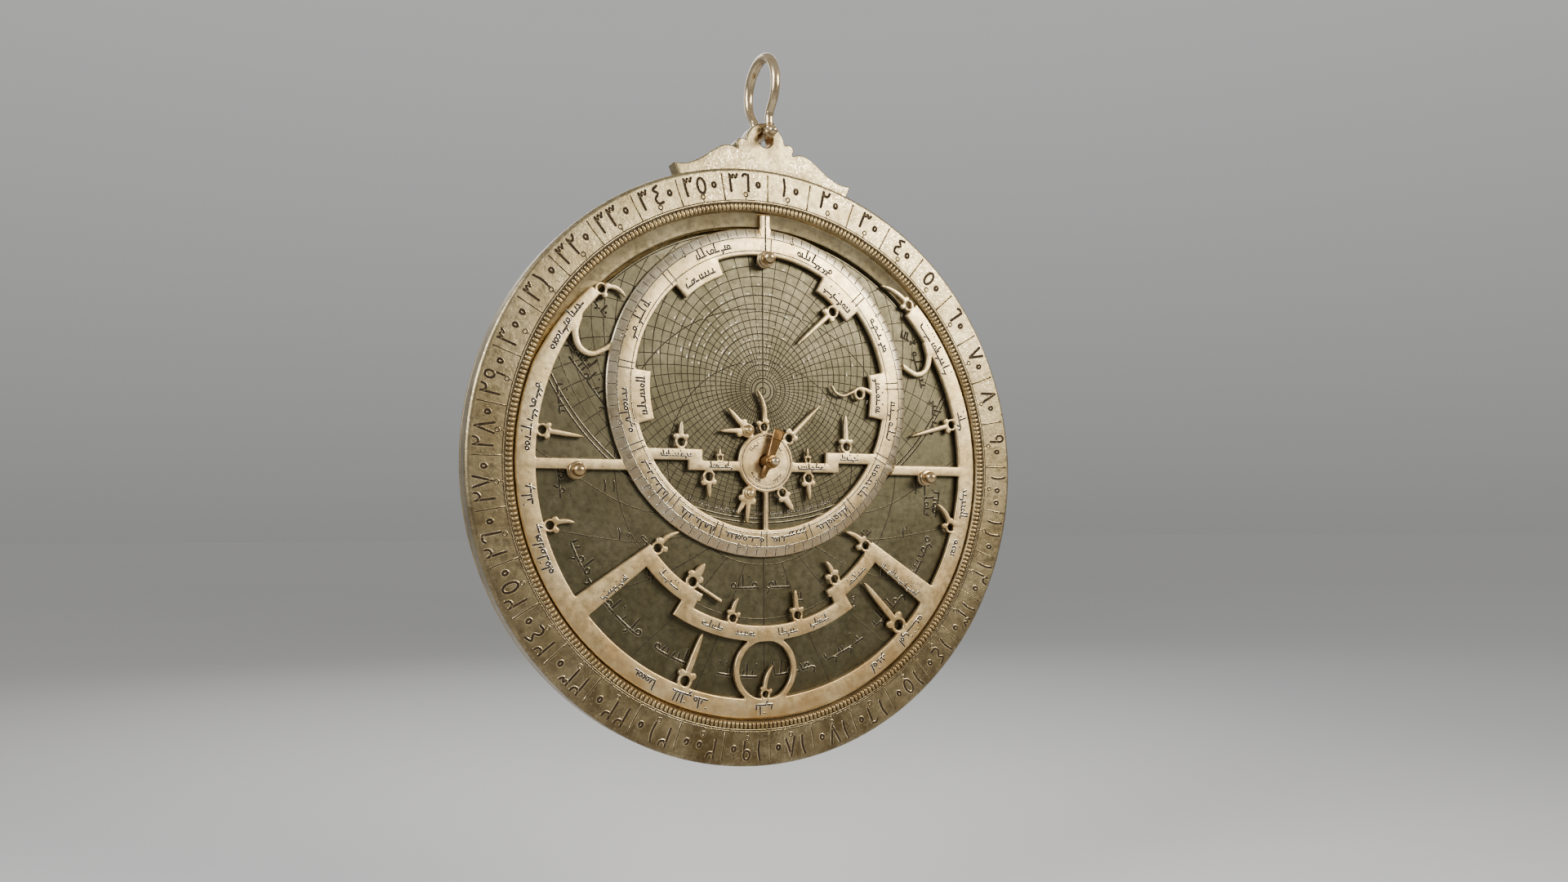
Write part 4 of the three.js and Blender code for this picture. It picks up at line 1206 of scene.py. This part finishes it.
# The star pointers: ring's centre, ring's size, the blade's tip, and its sideways bend and width.
POINTERS = (
    ((24.15, 4.7), 1.7, (24.05, 13.3), 0, 0.8),
    ((-23.6, 4.7), 1.65, (-23.5, 9.9), 0, 0.8),
    ((-16.05, -3.95), 1.7, (-15.85, -9.3), 0, 0.8),
    ((12.45, -3.95), 1.65, (12.9, -9.7), 0, 0.8),
    ((-12.95, 0.85), 0.85, (-12.95, 3.3), 0, 0.8),
    ((12.35, 0.85), 0.85, (12.35, 4.1), 0, 0.8),
    ((-0.5, 9.2), 1.5, (-2.3, 18.9), -1.1, 0.8),
    ((6.75, 6.5), 1.7, (16.2, 15.6), 0, 0.8),
    ((4.75, -7.9), 1.55, (7.9, -12.4), 0, 1.2),
    ((20.2, 41.3), 1.8, (9.5, 31.7), 0, 0.8),
    ((-44.75, 42.0), 1.6, (-38.5, 40.4), 1.5, 0.8),
    ((44.6, 45.1), 1.6, (35.8, 49.9), -1.0, 0.8),
    ((-59.1, 6.6), 1.65, (-48.8, 5.2), 0, 0.8),
    ((-57.0, -16.2), 1.65, (-50.9, -15.6), 0.7, 0.8),
    ((58.4, 11.9), 1.7, (45.0, 8.3), 0, 0.8),
    ((57.5, -17.1), 1.65, (53.2, -10.6), -1.0, 0.8),
    ((-29.8, -21.9), 1.7, (-24.1, -18.0), 0.8, 0.8),
    ((29.8, -21.9), 1.7, (23.8, -18.2), -0.7, 0.8),
    ((-20.5, -30.4), 1.85, (-17.3, -26.1), 0, 1.3),
    ((20.1, -30.7), 1.65, (17.6, -26.0), -0.5, 0.8),
    ((-9.5, -39.9), 1.5, (-7.9, -34.8), 0.5, 0.8),
    ((9.0, -39.8), 1.6, (8.4, -33.2), 0, 0.8),
    ((-22.5, -54.9), 2.0, (-17.7, -43.3), 0, 0.8),
    ((40.0, -43.6), 2.3, (29.2, -31.8), 0, 0.8),
    ((-0.4, -59.6), 1.35, (1.9, -52.2), 0.8, 0.8),
)
STUDS = (
    ("stud_upper", (-5.2, 8.2), ((-10.6, 13.8), (-12.9, 7.9))),
    ("stud_lower", (-4.75, -8.1), ((-8.1, -13.4), (-5.4, -15.7))),
)
KNOBS = (("knob_left", (-50.7, -3.0)), ("knob_right", (49.3, -3.3)), ("knob_top", (0.0, 53.6)))
SERPENT = ((33.0, 19.3), (30.6, 20.5), (28.2, 20.8), (26.0, 19.6), (23.4, 18.6), (21.2, 19.3), (19.9, 21.0))
SERPENT_RING = (28.4, 19.3)


def add_blade(field, start, tip, bend, width):
    """A pointer's blade: it keeps its width for most of its way, and bends sideways."""
    start, tip = np.array(start), np.array(tip)
    along = tip - start
    side = np.array([-along[1], along[0]]) / np.hypot(*along)
    middle = (start + tip) / 2 + side * 2 * bend
    share = np.linspace(0, 1, 30)[:, None]
    line = start * (1 - share) ** 2 + middle * 2 * share * (1 - share) + tip * share**2
    field.rod(line, width / 2 * np.sqrt(np.maximum(1 - share[:, 0] ** 3, 0.01)), 0.3)


def add_lobes(field, centre, tip, size):
    """Two small lobes beside a blade's root."""
    centre, way = np.array(centre), np.array(tip) - np.array(centre)
    way = way / np.hypot(*way)
    side = np.array([-way[1], way[0]])
    for sign in (-1, 1):
        field.disc(centre + size * (0.85 * way + sign * 0.8 * side), 0.46 * size, 0.2)


BARS = ((36.8, 62, -2.7, 0), (17.8, 34, 0.1, 3.1), (5, 21.7, -2.4, 0.2))


def rete_field():
    """The rete's outline: its frame first, then the pointers, then the holes."""
    field = Field((-66.6, -66.6), (66.6, 66.6), 0.12)

    def rim_reach(angle):
        share = np.clip((angle - RIM_TAPER) / (RIM_END - RIM_TAPER), 0, 1)
        return RIM_OUTER + (RIM_END_OUTER - RIM_OUTER) * share

    centre = (0, ECLIPTIC_Z)
    ecliptic_middle = (ECLIPTIC_OUTER + ECLIPTIC_INNER) / 2
    ecliptic_half = (ECLIPTIC_OUTER - ECLIPTIC_INNER) / 2
    field.add(band(RIM_INNER, rim_reach, RIM_START, RIM_END))
    field.add(hoop(centre, ecliptic_middle, ecliptic_half))
    for start, end in TABS:
        field.add(band(TAB_INNER, ECLIPTIC_INNER + 2, start, end, centre), blend=0.25)
    field.polygon(box_corners(-1.45, 1.45, 58, RIM_OUTER))
    for side in (-1, 1):
        for bar in BARS:
            field.polygon(np.array(box_corners(*bar)) * [side, 1], 0.25)
        field.polygon(np.array(STRUT) * [side, 1])
        lower = sorted((180 - side * (STEP_IN - 1), 180 - side * FRAME_CORNER))
        field.add(band(ARC_RADII[0], ARC_RADII[1], *lower), blend=0.25)
        hook = smooth(HOOK_LINE, 10) * [side, 1]
        field.rod(hook, np.linspace(0.85, 0.65, len(hook)))
    field.add(band(ARC_RADII[1] - 0.8, ARC_RADII[2], 180 - STEP_OUT, 180 + STEP_OUT), blend=0.25)
    field.cut(band(ARC_RADII[1] - 2, ARC_RADII[1], 180 - STEP_IN, 180 + STEP_IN))
    field.add(hoop(HOOP, HOOP_RADIUS, HOOP_HALF), HOOP_BOX)
    field.disc((0, 0), HUB_RADIUS)
    field.polygon(box_corners(-0.6, 0.6, -19, -7))
    for _, at in KNOBS:
        field.disc(at, 2.25)
    field.disc(SERPENT_RING, 1.75, 0.2)
    field.rod(smooth(SERPENT, 8), np.linspace(0.6, 0.25, 49), 0.3)
    field.rod(np.linspace((-20.3, -30.6), (-12.9, -35.4), 20), 0.45)
    for ring, size, tip, bend, width in POINTERS:
        field.disc(ring, size, 0.3)
        add_lobes(field, ring, tip, size)
        add_blade(field, ring, tip, bend, width * size)
    for _, at, tips in STUDS:
        field.disc(at, 1.9, 0.3)
        add_lobes(field, at, np.mean(tips, axis=0), 2.0)
        for tip in tips:
            add_blade(field, at, tip, 0, 1.4)
    for ring, size, *_ in POINTERS:
        field.hole(ring, 0.62 * size)
    field.hole(SERPENT_RING, 1.0)
    field.hole((0, 0), BORE_RADIUS)
    return field


def ecliptic_slope(x, z):
    """How far the ecliptic's face drops back, across its band of ticks."""
    away = np.hypot(x, z - ECLIPTIC_Z)
    sloped = (away > TICK_BAND) & (away < ECLIPTIC_OUTER + 0.25) & ((z < 52) | (np.abs(x) > 1.6))
    return np.where(sloped, TICK_DROP * (away - TICK_BAND) / (ECLIPTIC_OUTER - TICK_BAND), 0)


def rete():
    """The pierced star map; its face slopes back across the ecliptic's band of ticks."""
    centre = (0, ECLIPTIC_Z)
    guides = [circle_line(centre, TICK_BAND, 1.0), circle_line(centre, ECLIPTIC_OUTER + 0.3, 1.0)]
    points, blocks = relief(rete_field(), RETE_FRONT, RETE_BACK, 0.4, 0.15, guides, ecliptic_slope)
    fronts, backs, walls = blocks
    middles = points[fronts].mean(axis=1)
    sloped = ecliptic_slope(middles[:, 0], middles[:, 2]) > 0
    mesh = Mesh()
    mesh.add(points, [backs, walls, fronts], [0, 0, sloped])
    mesh.build("rete_piece", "rete", [RETE, RETE_BAND], 42, ["rete"])


def rete_surface(x, z):
    return RETE_FRONT + ecliptic_slope(x, z)


def longitude_angle(longitude):
    """Where a degree of the ecliptic lies on its ring, as an angle about the ring's centre."""
    turn = math.radians(longitude)
    right = math.atan2(math.sin(turn) * math.cos(OBLIQUITY), math.cos(turn))
    high = math.asin(math.sin(turn) * math.sin(OBLIQUITY))
    radius = EQUATOR * math.tan(math.pi / 4 - high / 2)
    x, z = radius * math.cos(right), -radius * math.sin(right)
    return math.degrees(math.atan2(x, z - ECLIPTIC_Z))


# Ornaments on the rete: their angle and width on the rim, then x, z, width and lean on its bars.
RIM_WORDS = ((55, 9), (62, 7), (78, 5), (100, 8), (112, 5), (136, 9), (148, 5), (181, 5), (200, 10), (212, 6))
LEFT_WORDS = ((250, 12), (262, 5), (276, 9), (284, 6), (302, 15))
BAR_WORDS = (
    (-13, -1.1, 6, 0), (13.5, -1.1, 8, 0), (-25, 1.6, 8, 0), (25, 1.6, 6, 0),
    (40.5, -31.4, 14, 38), (-41, -31.2, 8, -38),
)
# Ornaments on the lower frame: their radius and width, their angles, and the first one's seed.
ARC_WORDS = ((44.2, 5.5, (160, 172, 188, 200), 200), (40.1, 6.5, (138, 222), 210))
ZODIAC_INNER, ZODIAC_OUTER = 36.6, TICK_BAND - 0.3
TICKS = 96


def rete_engraving():
    """The ecliptic's ticks and twelve signs, and the ornaments on the rim, the tabs, the hub and the bars."""
    mesh = Mesh()
    centre = (0, ECLIPTIC_Z)

    def cut(lines, width, closed=False, burr=0.03):
        for line in lines:
            engrave(mesh, line, width, rete_surface, closed, burr, lip=0.45)

    cut([circle_line(centre, radius) for radius in (37.2, TICK_BAND - 0.1)], 0.22, True, 0.015)
    for angle in np.arange(TICKS) * 360 / TICKS:
        if min(angle, 360 - angle) > 3:
            cut([spoke(TICK_BAND + 0.25, ECLIPTIC_OUTER - 0.45, angle, 3, centre)], 0.24)
    for sign in range(12):
        angle, after = longitude_angle(sign * 30), longitude_angle(sign * 30 + 30)
        pair = [spoke(ZODIAC_INNER, ZODIAC_OUTER, angle + shift, 4, centre) for shift in (0, 2.4)]
        cut(pair, 0.28, burr=0.05)
        cut([circle_line(polar(TICK_BAND + 0.1, angle + 11, centre), 0.5, 0.35)], 0.24, True)
        both = math.radians(angle), math.radians(after)
        heading = math.degrees(math.atan2(sum(map(math.sin, both)), sum(map(math.cos, both))))
        cut(bent_round(flourish(10.5, 3.3, 100 + sign), 39.0, heading, centre), 0.42)
    for index, (start, end) in enumerate(TABS):
        cut(bent_round(flourish(9.5, 3.1, 120 + index), 34.3, (start + end) / 2, centre), 0.44)
    for index, (angle, length) in enumerate(RIM_WORDS + LEFT_WORDS):
        cut(bent_round(flourish(length, 3.3, 140 + index), 63.0, angle), 0.44)
    cut([circle_line((0, 0), 6.88, 0.4)], 0.2, True)
    turns = np.linspace(0, 2 * math.pi, 10, endpoint=False)
    for radius, thick in ((6.35, 0.22), (7.35, 0.34)):
        ridge = [[radius + thick * math.cos(t), RETE_FRONT + 0.08 - thick * 0.6 * math.sin(t)] for t in turns]
        mesh.add(*lathe(ridge + ridge[:1], 96), 2)
    for index, angle in enumerate((-38, 38, 142, 218)):
        cut(bent_round(flourish(3.2, 1.3, 160 + index), 5.45, angle), 0.2)
    for index, (x, z, width, lean) in enumerate(BAR_WORDS):
        cut(set_at(flourish(width, 2.0, 180 + index), (x, z), lean), 0.34)
    for radius, width, angles, seed in ARC_WORDS:
        for index, angle in enumerate(angles):
            cut(bent_round(flourish(width, 2.4, seed + index), radius, angle, outward=False), 0.36)
    cut([np.linspace((0, RIM_OUTER - 0.3), (0, 56.2), 8)], 0.4, burr=0.04)
    mesh.build("rete_engraving", "rete", [RETE_BURR_HIGHLIGHT, RETE_CUT, RETE], 80)


def knobs():
    """The three turning knobs and the two domed studs, riveted through the rete."""
    seat = RETE_FRONT - 0.1
    for name, at in KNOBS:
        profile = [
            *arc_profile(1.65, -1.35, 0, 143, 16),
            [1.0, -0.05], [1.25, -0.02], [1.9, 0.0], [2.1, 0.12], [2.15, 0.3], [2.15, seat],
            [0.7, seat], [0.7, RETE_BACK], [0.0, RETE_BACK],
        ]
        turned_piece(name, "rete", KNOB, 50, profile, 48, at)
    for name, at, _ in STUDS:
        profile = [
            *arc_profile(1.15, seat - 0.35, 0, 88, 12),
            [1.25, seat - 0.3], [1.4, seat - 0.24], [1.5, seat - 0.12], [1.5, seat],
            [0.6, seat], [0.6, RETE_BACK], [0.0, RETE_BACK],
        ]
        turned_piece(name, "rete", RETE, 50, profile, 40, at)


# ---- Centre pin and wedge ----

PIN_TIP_Y, PIN_TIP_RADIUS, PIN_SHOULDER_Y = -4.3, 1.2, -2.9
HEAD_FRONT, HEAD_BACK, HEAD_RADIUS = 10.25, 12.2, 3.7
SLOT_FRONT, SLOT_BACK, SLOT_HALF = -2.12, 0.9, 1.25
BALL_BANDS, SHANK_BANDS = 15, 2  # rows of faces on the front end's ball, and on the back end's shank


def centre_pin():
    """The pin's two ends, and the two cheeks that join them beside the wedge's slot."""
    front = [
        *arc_profile(PIN_TIP_RADIUS, PIN_TIP_Y, 0, 140, 16),
        [0.72, PIN_SHOULDER_Y - 0.15], [0.85, PIN_SHOULDER_Y], [PIN_RADIUS - 0.3, PIN_SHOULDER_Y],
        [PIN_RADIUS - 0.08, PIN_SHOULDER_Y + 0.1], [PIN_RADIUS, PIN_SHOULDER_Y + 0.3],
        [PIN_RADIUS, SLOT_FRONT], [0.0, SLOT_FRONT],
    ]
    back = [
        [0.0, SLOT_BACK], [PIN_RADIUS, SLOT_BACK], [PIN_RADIUS, HEAD_FRONT],
        [HEAD_RADIUS - 0.1, HEAD_FRONT], [HEAD_RADIUS, HEAD_FRONT + 0.1], [HEAD_RADIUS, HEAD_BACK - 1.2],
        [HEAD_RADIUS * 0.96, HEAD_BACK - 0.95], [HEAD_RADIUS * 0.84, HEAD_BACK - 0.5],
        [HEAD_RADIUS * 0.6, HEAD_BACK - 0.17], [HEAD_RADIUS * 0.3, HEAD_BACK - 0.03], [0.0, HEAD_BACK],
    ]
    mesh = Mesh()
    points, faces = lathe(front, 48)
    mesh.add(points, faces, (np.arange(len(faces)) % (len(front) - 1) >= BALL_BANDS).astype(int))
    points, faces = lathe(back, 64)
    mesh.add(points, faces, (np.arange(len(faces)) % (len(back) - 1) < SHANK_BANDS).astype(int))
    corner = math.asin(SLOT_HALF / PIN_RADIUS)
    turns = np.linspace(corner, math.pi - corner, 12)
    for side in (-1, 1):
        outline = [(side * PIN_RADIUS * math.sin(t), PIN_RADIUS * math.cos(t)) for t in turns]
        add_bar(mesh, [[(x, y, z) for x, z in outline] for y in (SLOT_FRONT, SLOT_BACK)], 1)
    mesh.build("centre_pin_piece", "pin", [POLISHED, BRONZE], 45, ["centre_pin"], WEDGE_ANGLE)


# Along the wedge: half-width, ridge's y, eaves' y on both sides, underside's y. The ridge runs nearer
# the right side, and the step near the thick end is the notch that a finger pulls on.
WEDGE_STATIONS = (
    (-4.2, 0.62, -0.55, 0.0, 0.72),
    (-4.0, 0.68, -0.75, -0.1, 0.75),
    (-1.8, 0.86, -1.35, -0.6, 0.75),
    (1.8, 1.12, -1.98, -1.2, 0.75),
    (4.8, 1.36, -2.12, -1.45, 0.75),
    (5.2, 1.4, -2.14, -1.47, 0.3),
    (5.6, 1.44, -2.16, -1.5, -0.4),
    (5.7, 1.44, -1.92, -1.32, -0.6),
    (6.0, 1.46, -1.92, -1.32, -1.0),
    (6.1, 1.48, -2.2, -1.52, -1.06),
    (8.3, 1.62, -2.12, -1.45, -1.15),
    (8.65, 1.66, -1.9, -1.4, -1.15),
    (8.8, 1.6, -1.75, -1.38, -1.2),
)
RIDGE_SHARE = 0.4


def wedge():
    """A tapered bar with a ridge like a roof, raised clear of the rete at its thick end."""
    rows = []
    soft = 0.1
    for along, half, ridge, eaves, under in WEDGE_STATIONS:
        top = half * RIDGE_SHARE
        section = [
            (-half, eaves + soft), (-half + soft, eaves - soft * 0.4),
            (top - 0.12, ridge + 0.02), (top, ridge), (top + 0.1, ridge + 0.06),
            (half - soft, eaves + 0.5), (half, eaves + 0.62),
            (half, under - soft * 0.5), (half - soft, under),
            (-half + soft, under), (-half, under - soft * 0.5),
        ]
        rows.append([(x, y, along) for x, y in section])
    mesh = Mesh()
    add_bar(mesh, rows)
    mesh.build("wedge_piece", "wedge", [BRONZE], 30, ["wedge"], WEDGE_ANGLE)


WASHER_FRONT, WASHER_BACK, WASHER_RADIUS = 9.55, 10.15, 4.6


def back_washer():
    """The washer between the alidade and the centre pin's head."""
    profile = [
        [BORE_RADIUS, WASHER_BACK], [BORE_RADIUS, WASHER_FRONT],
        [WASHER_RADIUS - 0.1, WASHER_FRONT], [WASHER_RADIUS, WASHER_FRONT + 0.1],
        [WASHER_RADIUS, WASHER_BACK - 0.2], [WASHER_RADIUS - 0.2, WASHER_BACK],
        [BORE_RADIUS, WASHER_BACK],
    ]
    turned_piece("back_washer", "pin", BEAD, 45, profile, 64)


# ---- Alidade ----

RULE_FRONT, RULE_BACK = 7.65, 9.45
RULE_REACH, RULE_HALF, RULE_HUB = 73.5, 4.2, 9.5
VANE_AT, VANE_HALF_THICK, TENON_HALF = 52, 0.85, 2.6
RULE_LINES = ((2.9, 10.5, 46, 20), (1.6, 56, 62, 6))  # x, the ends along the rule, and a count of points
HUB_RINGS = (6.2, 8.4)


def alidade():
    """The sighting rule: its two pointed arms, hub, tenon slots, and the lines along it."""
    shoulder = RULE_REACH - 11
    arm = [
        (RULE_HALF, shoulder), (RULE_HALF * 0.82, shoulder + 2.2), (RULE_HALF * 0.45, shoulder + 5),
        (RULE_HALF * 0.16, shoulder + 8.5), (0.05, RULE_REACH - 0.4),
    ]
    quarter = smooth(arm, 5)
    half = np.vstack([quarter, (quarter * [-1, 1])[::-1]])
    field = Field((-11, -75), (11, 75), 0.12)
    field.polygon(np.vstack([half, -half]))
    field.disc((0, 0), RULE_HUB, 1.2)
    field.hole((0, 0), BORE_RADIUS)
    slot_half = VANE_HALF_THICK + 0.1
    for end in (-1, 1):
        slot = box_corners(-TENON_HALF - 0.1, TENON_HALF + 0.1, VANE_AT - slot_half, VANE_AT + slot_half)
        corners = np.array(slot) * [1, end]
        field.cut(polygon(corners), span(corners))
    points, faces = relief(field, -RULE_BACK, -RULE_FRONT, rounding=0.5, back_rounding=0.2)
    points[:, 1] *= -1
    mesh = Mesh()
    mesh.add(points, [f[:, ::-1] for f in faces])
    mesh.build("alidade_piece", "alidade", [RETE], 40, ["alidade"], ALIDADE_ANGLE)
    lines = Mesh()
    face = flat_at(RULE_BACK)
    for end in (-1, 1):
        for x, near, far, count in RULE_LINES:
            for side in (-x, x):
                line = np.linspace((side, end * near), (side, end * far), count)
                engrave(lines, line, 0.22, face, outward=1.0)
    for radius in HUB_RINGS:
        engrave(lines, circle_line((0, 0), radius, 0.6), 0.22, face, True, outward=1.0)
    lines.build("alidade_engraving", "alidade", [RETE_BURR_HIGHLIGHT, RETE_CUT], 80, turn=ALIDADE_ANGLE)


VANE_FOOT, VANE_TOP, VANE_HALF = 9.55, 22.6, 6.0
SMALL_SIGHT, LARGE_SIGHT = (18.6, 0.5), (14.0, 1.4)  # each hole's height and radius


def vane(name, end):
    """A sighting plate, drawn face on in x and height above the disc's front, then stood on the rule."""
    right = [
        (TENON_HALF, RULE_FRONT + 0.05), (TENON_HALF, VANE_FOOT), (VANE_HALF, VANE_FOOT),
        (VANE_HALF, VANE_TOP - 4.4), (VANE_HALF - 1.6, VANE_TOP - 4.4 + 0.9),
        (VANE_HALF - 3.1, VANE_TOP - 1.6), (VANE_HALF - 4.6, VANE_TOP - 0.3),
    ]
    field = Field((-7, 6.5), (7, 24), 0.08)
    field.add(polygon(np.array(right + [(-x, z) for x, z in right[::-1]])))
    for height, radius in (SMALL_SIGHT, LARGE_SIGHT):
        field.hole((0, height), radius)
    points, faces = relief(field, -VANE_HALF_THICK, VANE_HALF_THICK, rounding=0.25, back_rounding=0.25)
    x, thick, height = points.T
    stood = np.stack([x, height, end * VANE_AT + thick], axis=1)
    mesh = Mesh()
    mesh.add(stood, [f[:, ::-1] for f in faces])
    mesh.build(f"{name}_piece", "alidade", [RETE], 40, [name], ALIDADE_ANGLE)


# ---- Shackle ----

LOOP_Z, LOOP_RADIUS, LEG_OFFSET = 100.0, 8.5, 4.5


def tube(mesh, line, radii, sides=32):
    """A round bar along a line of (y, z) points at x = 0, with its radius at each."""
    along = np.gradient(line, axis=0)
    along /= np.hypot(*along.T)[:, None]
    turns = np.linspace(0, 2 * math.pi, sides, endpoint=False)
    rows = []
    for (y, z), (ay, az), radius in zip(line, along, radii):
        spots = [(radius * math.cos(t), radius * math.sin(t)) for t in turns]
        rows.append([(x, y - az * off, z + ay * off) for x, off in spots])
    add_bar(mesh, rows)


BOSS = (
    (0.95, -1.2), (1.3, -1.2), (1.45, -1.0), (1.5, -0.4), (1.5, 0.4), (1.45, 1.0), (1.3, 1.2), (0.95, 1.2),
)  # an eye's section, as radius and distance along the pin
COLLARS = ((1.24, 0.0), (1.18, 0.55))  # each collar's size, and its height above the lower one
COLLAR_RISE = 1.75


def shackle():
    """The bent loop, an eye at each leg's end, and two thin collars above each eye."""
    turns = np.radians(np.linspace(-135, 135, 60))
    rounded = np.stack([LOOP_RADIUS * np.sin(turns), LOOP_Z + LOOP_RADIUS * np.cos(turns)], axis=1)
    leg = [(LEG_OFFSET, SHACKLE_PIN_Z + rise) for rise in (0.6, 2.6, 4.3)]
    leg.append((LEG_OFFSET + 0.5, SHACKLE_PIN_Z + 5.8))
    left = [(-y, z) for y, z in leg]
    whole = smooth(left, 6).tolist() + rounded[2:-2].tolist() + smooth(leg[::-1], 6).tolist()
    line = smooth(np.array(whole), 2)
    height = np.clip((line[:, 1] - SHACKLE_PIN_Z - 1) / 20, 0, 1)
    mesh = Mesh()
    tube(mesh, line + [SHACKLE_Y, 0], 1.06 + 0.34 * height**1.2)
    turns = np.linspace(0, 2 * math.pi, 12, endpoint=False)
    for side in (-1, 1):
        y = SHACKLE_Y + side * LEG_OFFSET
        mesh.add(*lathe([[r, y + w] for r, w in BOSS + BOSS[:1]], 40, (0, SHACKLE_PIN_Z)))
        for size, rise in COLLARS:
            section = [[0.95 + (size - 0.75) * max(0, math.cos(t)), 0.22 * math.sin(t)] for t in turns]
            points, faces = lathe(section + section[:1], 32)
            collar_z = SHACKLE_PIN_Z + COLLAR_RISE + rise
            points = np.stack([points[:, 0], y + points[:, 2], collar_z + points[:, 1]], axis=1)
            mesh.add(points, faces[:, ::-1])
    mesh.build("shackle_loop_piece", "shackle", [POLISHED], 60, ["shackle_loop"])


PIN_BODY_RADIUS, PIN_BALL_RADIUS = 0.88, 1.3


def shackle_pin():
    """The pin through both eyes and the throne's hole, with a ball at each end."""
    ball_at = LEG_OFFSET + 1.2 + 1.05
    cap = 180 - math.degrees(math.asin(PIN_BODY_RADIUS / PIN_BALL_RADIUS))
    front = arc_profile(PIN_BALL_RADIUS, -ball_at, 0, cap, 16)
    back = [[r, -y] for r, y in front[::-1]]
    profile = [[r, y + SHACKLE_Y] for r, y in front + back]
    turned_piece("shackle_pin", "shackle", POLISHED, 50, profile, 40, (0, SHACKLE_PIN_Z))


# ---- Studio ----

LENS_MM = 26.72
CAMERA_FROM_CENTRE_M = Vector((-0.1307, -0.2721, -0.0177))
CAMERA_AXES = (  # its right, its up and its backward direction
    (0.89551, -0.44500, -0.00524),
    (-0.02939, -0.07087, 0.99705),
    (-0.44406, -0.89272, -0.07655),
)
FLOOR_GAP_M = 0.05
FLOOR_HALF_M = 15.0
SKY_STRENGTH = (0.34, 0.6)  # at the horizon, and overhead
SKY_TONE = (0.80, 0.80, 0.79, 1)


def camera():
    """The photograph's own viewpoint."""
    data = bpy.data.cameras.new("camera")
    data.lens = LENS_MM
    data.sensor_width = 36
    data.clip_start = 0.005
    made = bpy.data.objects.new("camera", data)
    bpy.context.scene.collection.objects.link(made)
    turn = Matrix(CAMERA_AXES).transposed()
    made.matrix_world = Matrix.Translation(CENTRE_M + CAMERA_FROM_CENTRE_M) @ turn.to_4x4()
    bpy.context.scene.camera = made


def soft_lamp(name, at, size, watts, spread, tint=(1, 1, 1)):
    """A rectangular lamp aimed at the disc's centre. at is its place from there, in metres like size."""
    data = bpy.data.lights.new(name, "AREA")
    data.shape = "RECTANGLE"
    data.size, data.size_y = size
    data.energy = watts
    data.spread = math.radians(spread)
    data.color = tint
    lamp = bpy.data.objects.new(name, data)
    bpy.context.scene.collection.objects.link(lamp)
    lamp.location = CENTRE_M + Vector(at)
    lamp.rotation_euler = (-Vector(at)).to_track_quat("-Z", "Y").to_euler()


def pale_floor():
    """A plain pale floor, so wide that its edge can't be told from the sky."""
    half, z = FLOOR_HALF_M, CAD_LOW[2] - FLOOR_GAP_M
    mesh = bpy.data.meshes.new("floor")
    corners = [(-half, -half, z), (half, -half, z), (half, half, z), (-half, half, z)]
    mesh.from_pydata(corners, [], [(0, 1, 2, 3)])
    floor = bpy.data.objects.new("floor", mesh)
    bpy.context.scene.collection.objects.link(floor)
    surface = Nodes("floor_matt")
    tone = surface.mix(surface.noise(0.4, 2), colour(196, 196, 195), colour(201, 200, 199))
    surface.tree.links.new(tone, surface.shader.inputs["Base Color"])
    surface.shader.inputs["Roughness"].default_value = 0.85
    mesh.materials.append(surface.material)


def sky():
    """Plain soft light from all round, brighter overhead."""
    world = bpy.data.worlds.new("studio")
    world.use_nodes = True
    tree = world.node_tree
    where = tree.nodes.new("ShaderNodeTexCoord").outputs["Generated"]
    parts = tree.nodes.new("ShaderNodeSeparateXYZ")
    brightness = tree.nodes.new("ShaderNodeMapRange")
    brightness.inputs["From Max"].default_value = 0.4
    brightness.inputs["To Min"].default_value, brightness.inputs["To Max"].default_value = SKY_STRENGTH
    tree.links.new(where, parts.inputs["Vector"])
    tree.links.new(parts.outputs["Z"], brightness.inputs["Value"])
    background = tree.nodes["Background"]
    background.inputs["Color"].default_value = SKY_TONE
    tree.links.new(brightness.outputs["Result"], background.inputs["Strength"])
    bpy.context.scene.world = world


def inner_plates():
    """The plates below the first stay as the frame has them, in a dull finish."""
    for name in ("plate_2", "plate_3"):
        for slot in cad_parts[name].material_slots:
            slot.material = HIDDEN


limb()
beads()
limb_engraving()
mater_back()
rivets()
back_engraving()
throne()
plate()
plate_engraving()
rete()
rete_engraving()
knobs()
centre_pin()
wedge()
back_washer()
alidade()
vane("vane_a", 1)
vane("vane_b", -1)
shackle()
shackle_pin()
inner_plates()
camera()
pale_floor()
sky()
soft_lamp("key", (0.45, -0.57, 0.30), (0.5, 0.3), 1.15, 60, (1.0, 0.95, 0.82))
soft_lamp("side", (-0.75, -0.15, 0.35), (0.5, 0.5), 1.8, 70, (0.94, 0.97, 1.0))
soft_lamp("back", (0.1, 0.7, 0.5), (0.8, 0.4), 1.2, 120)
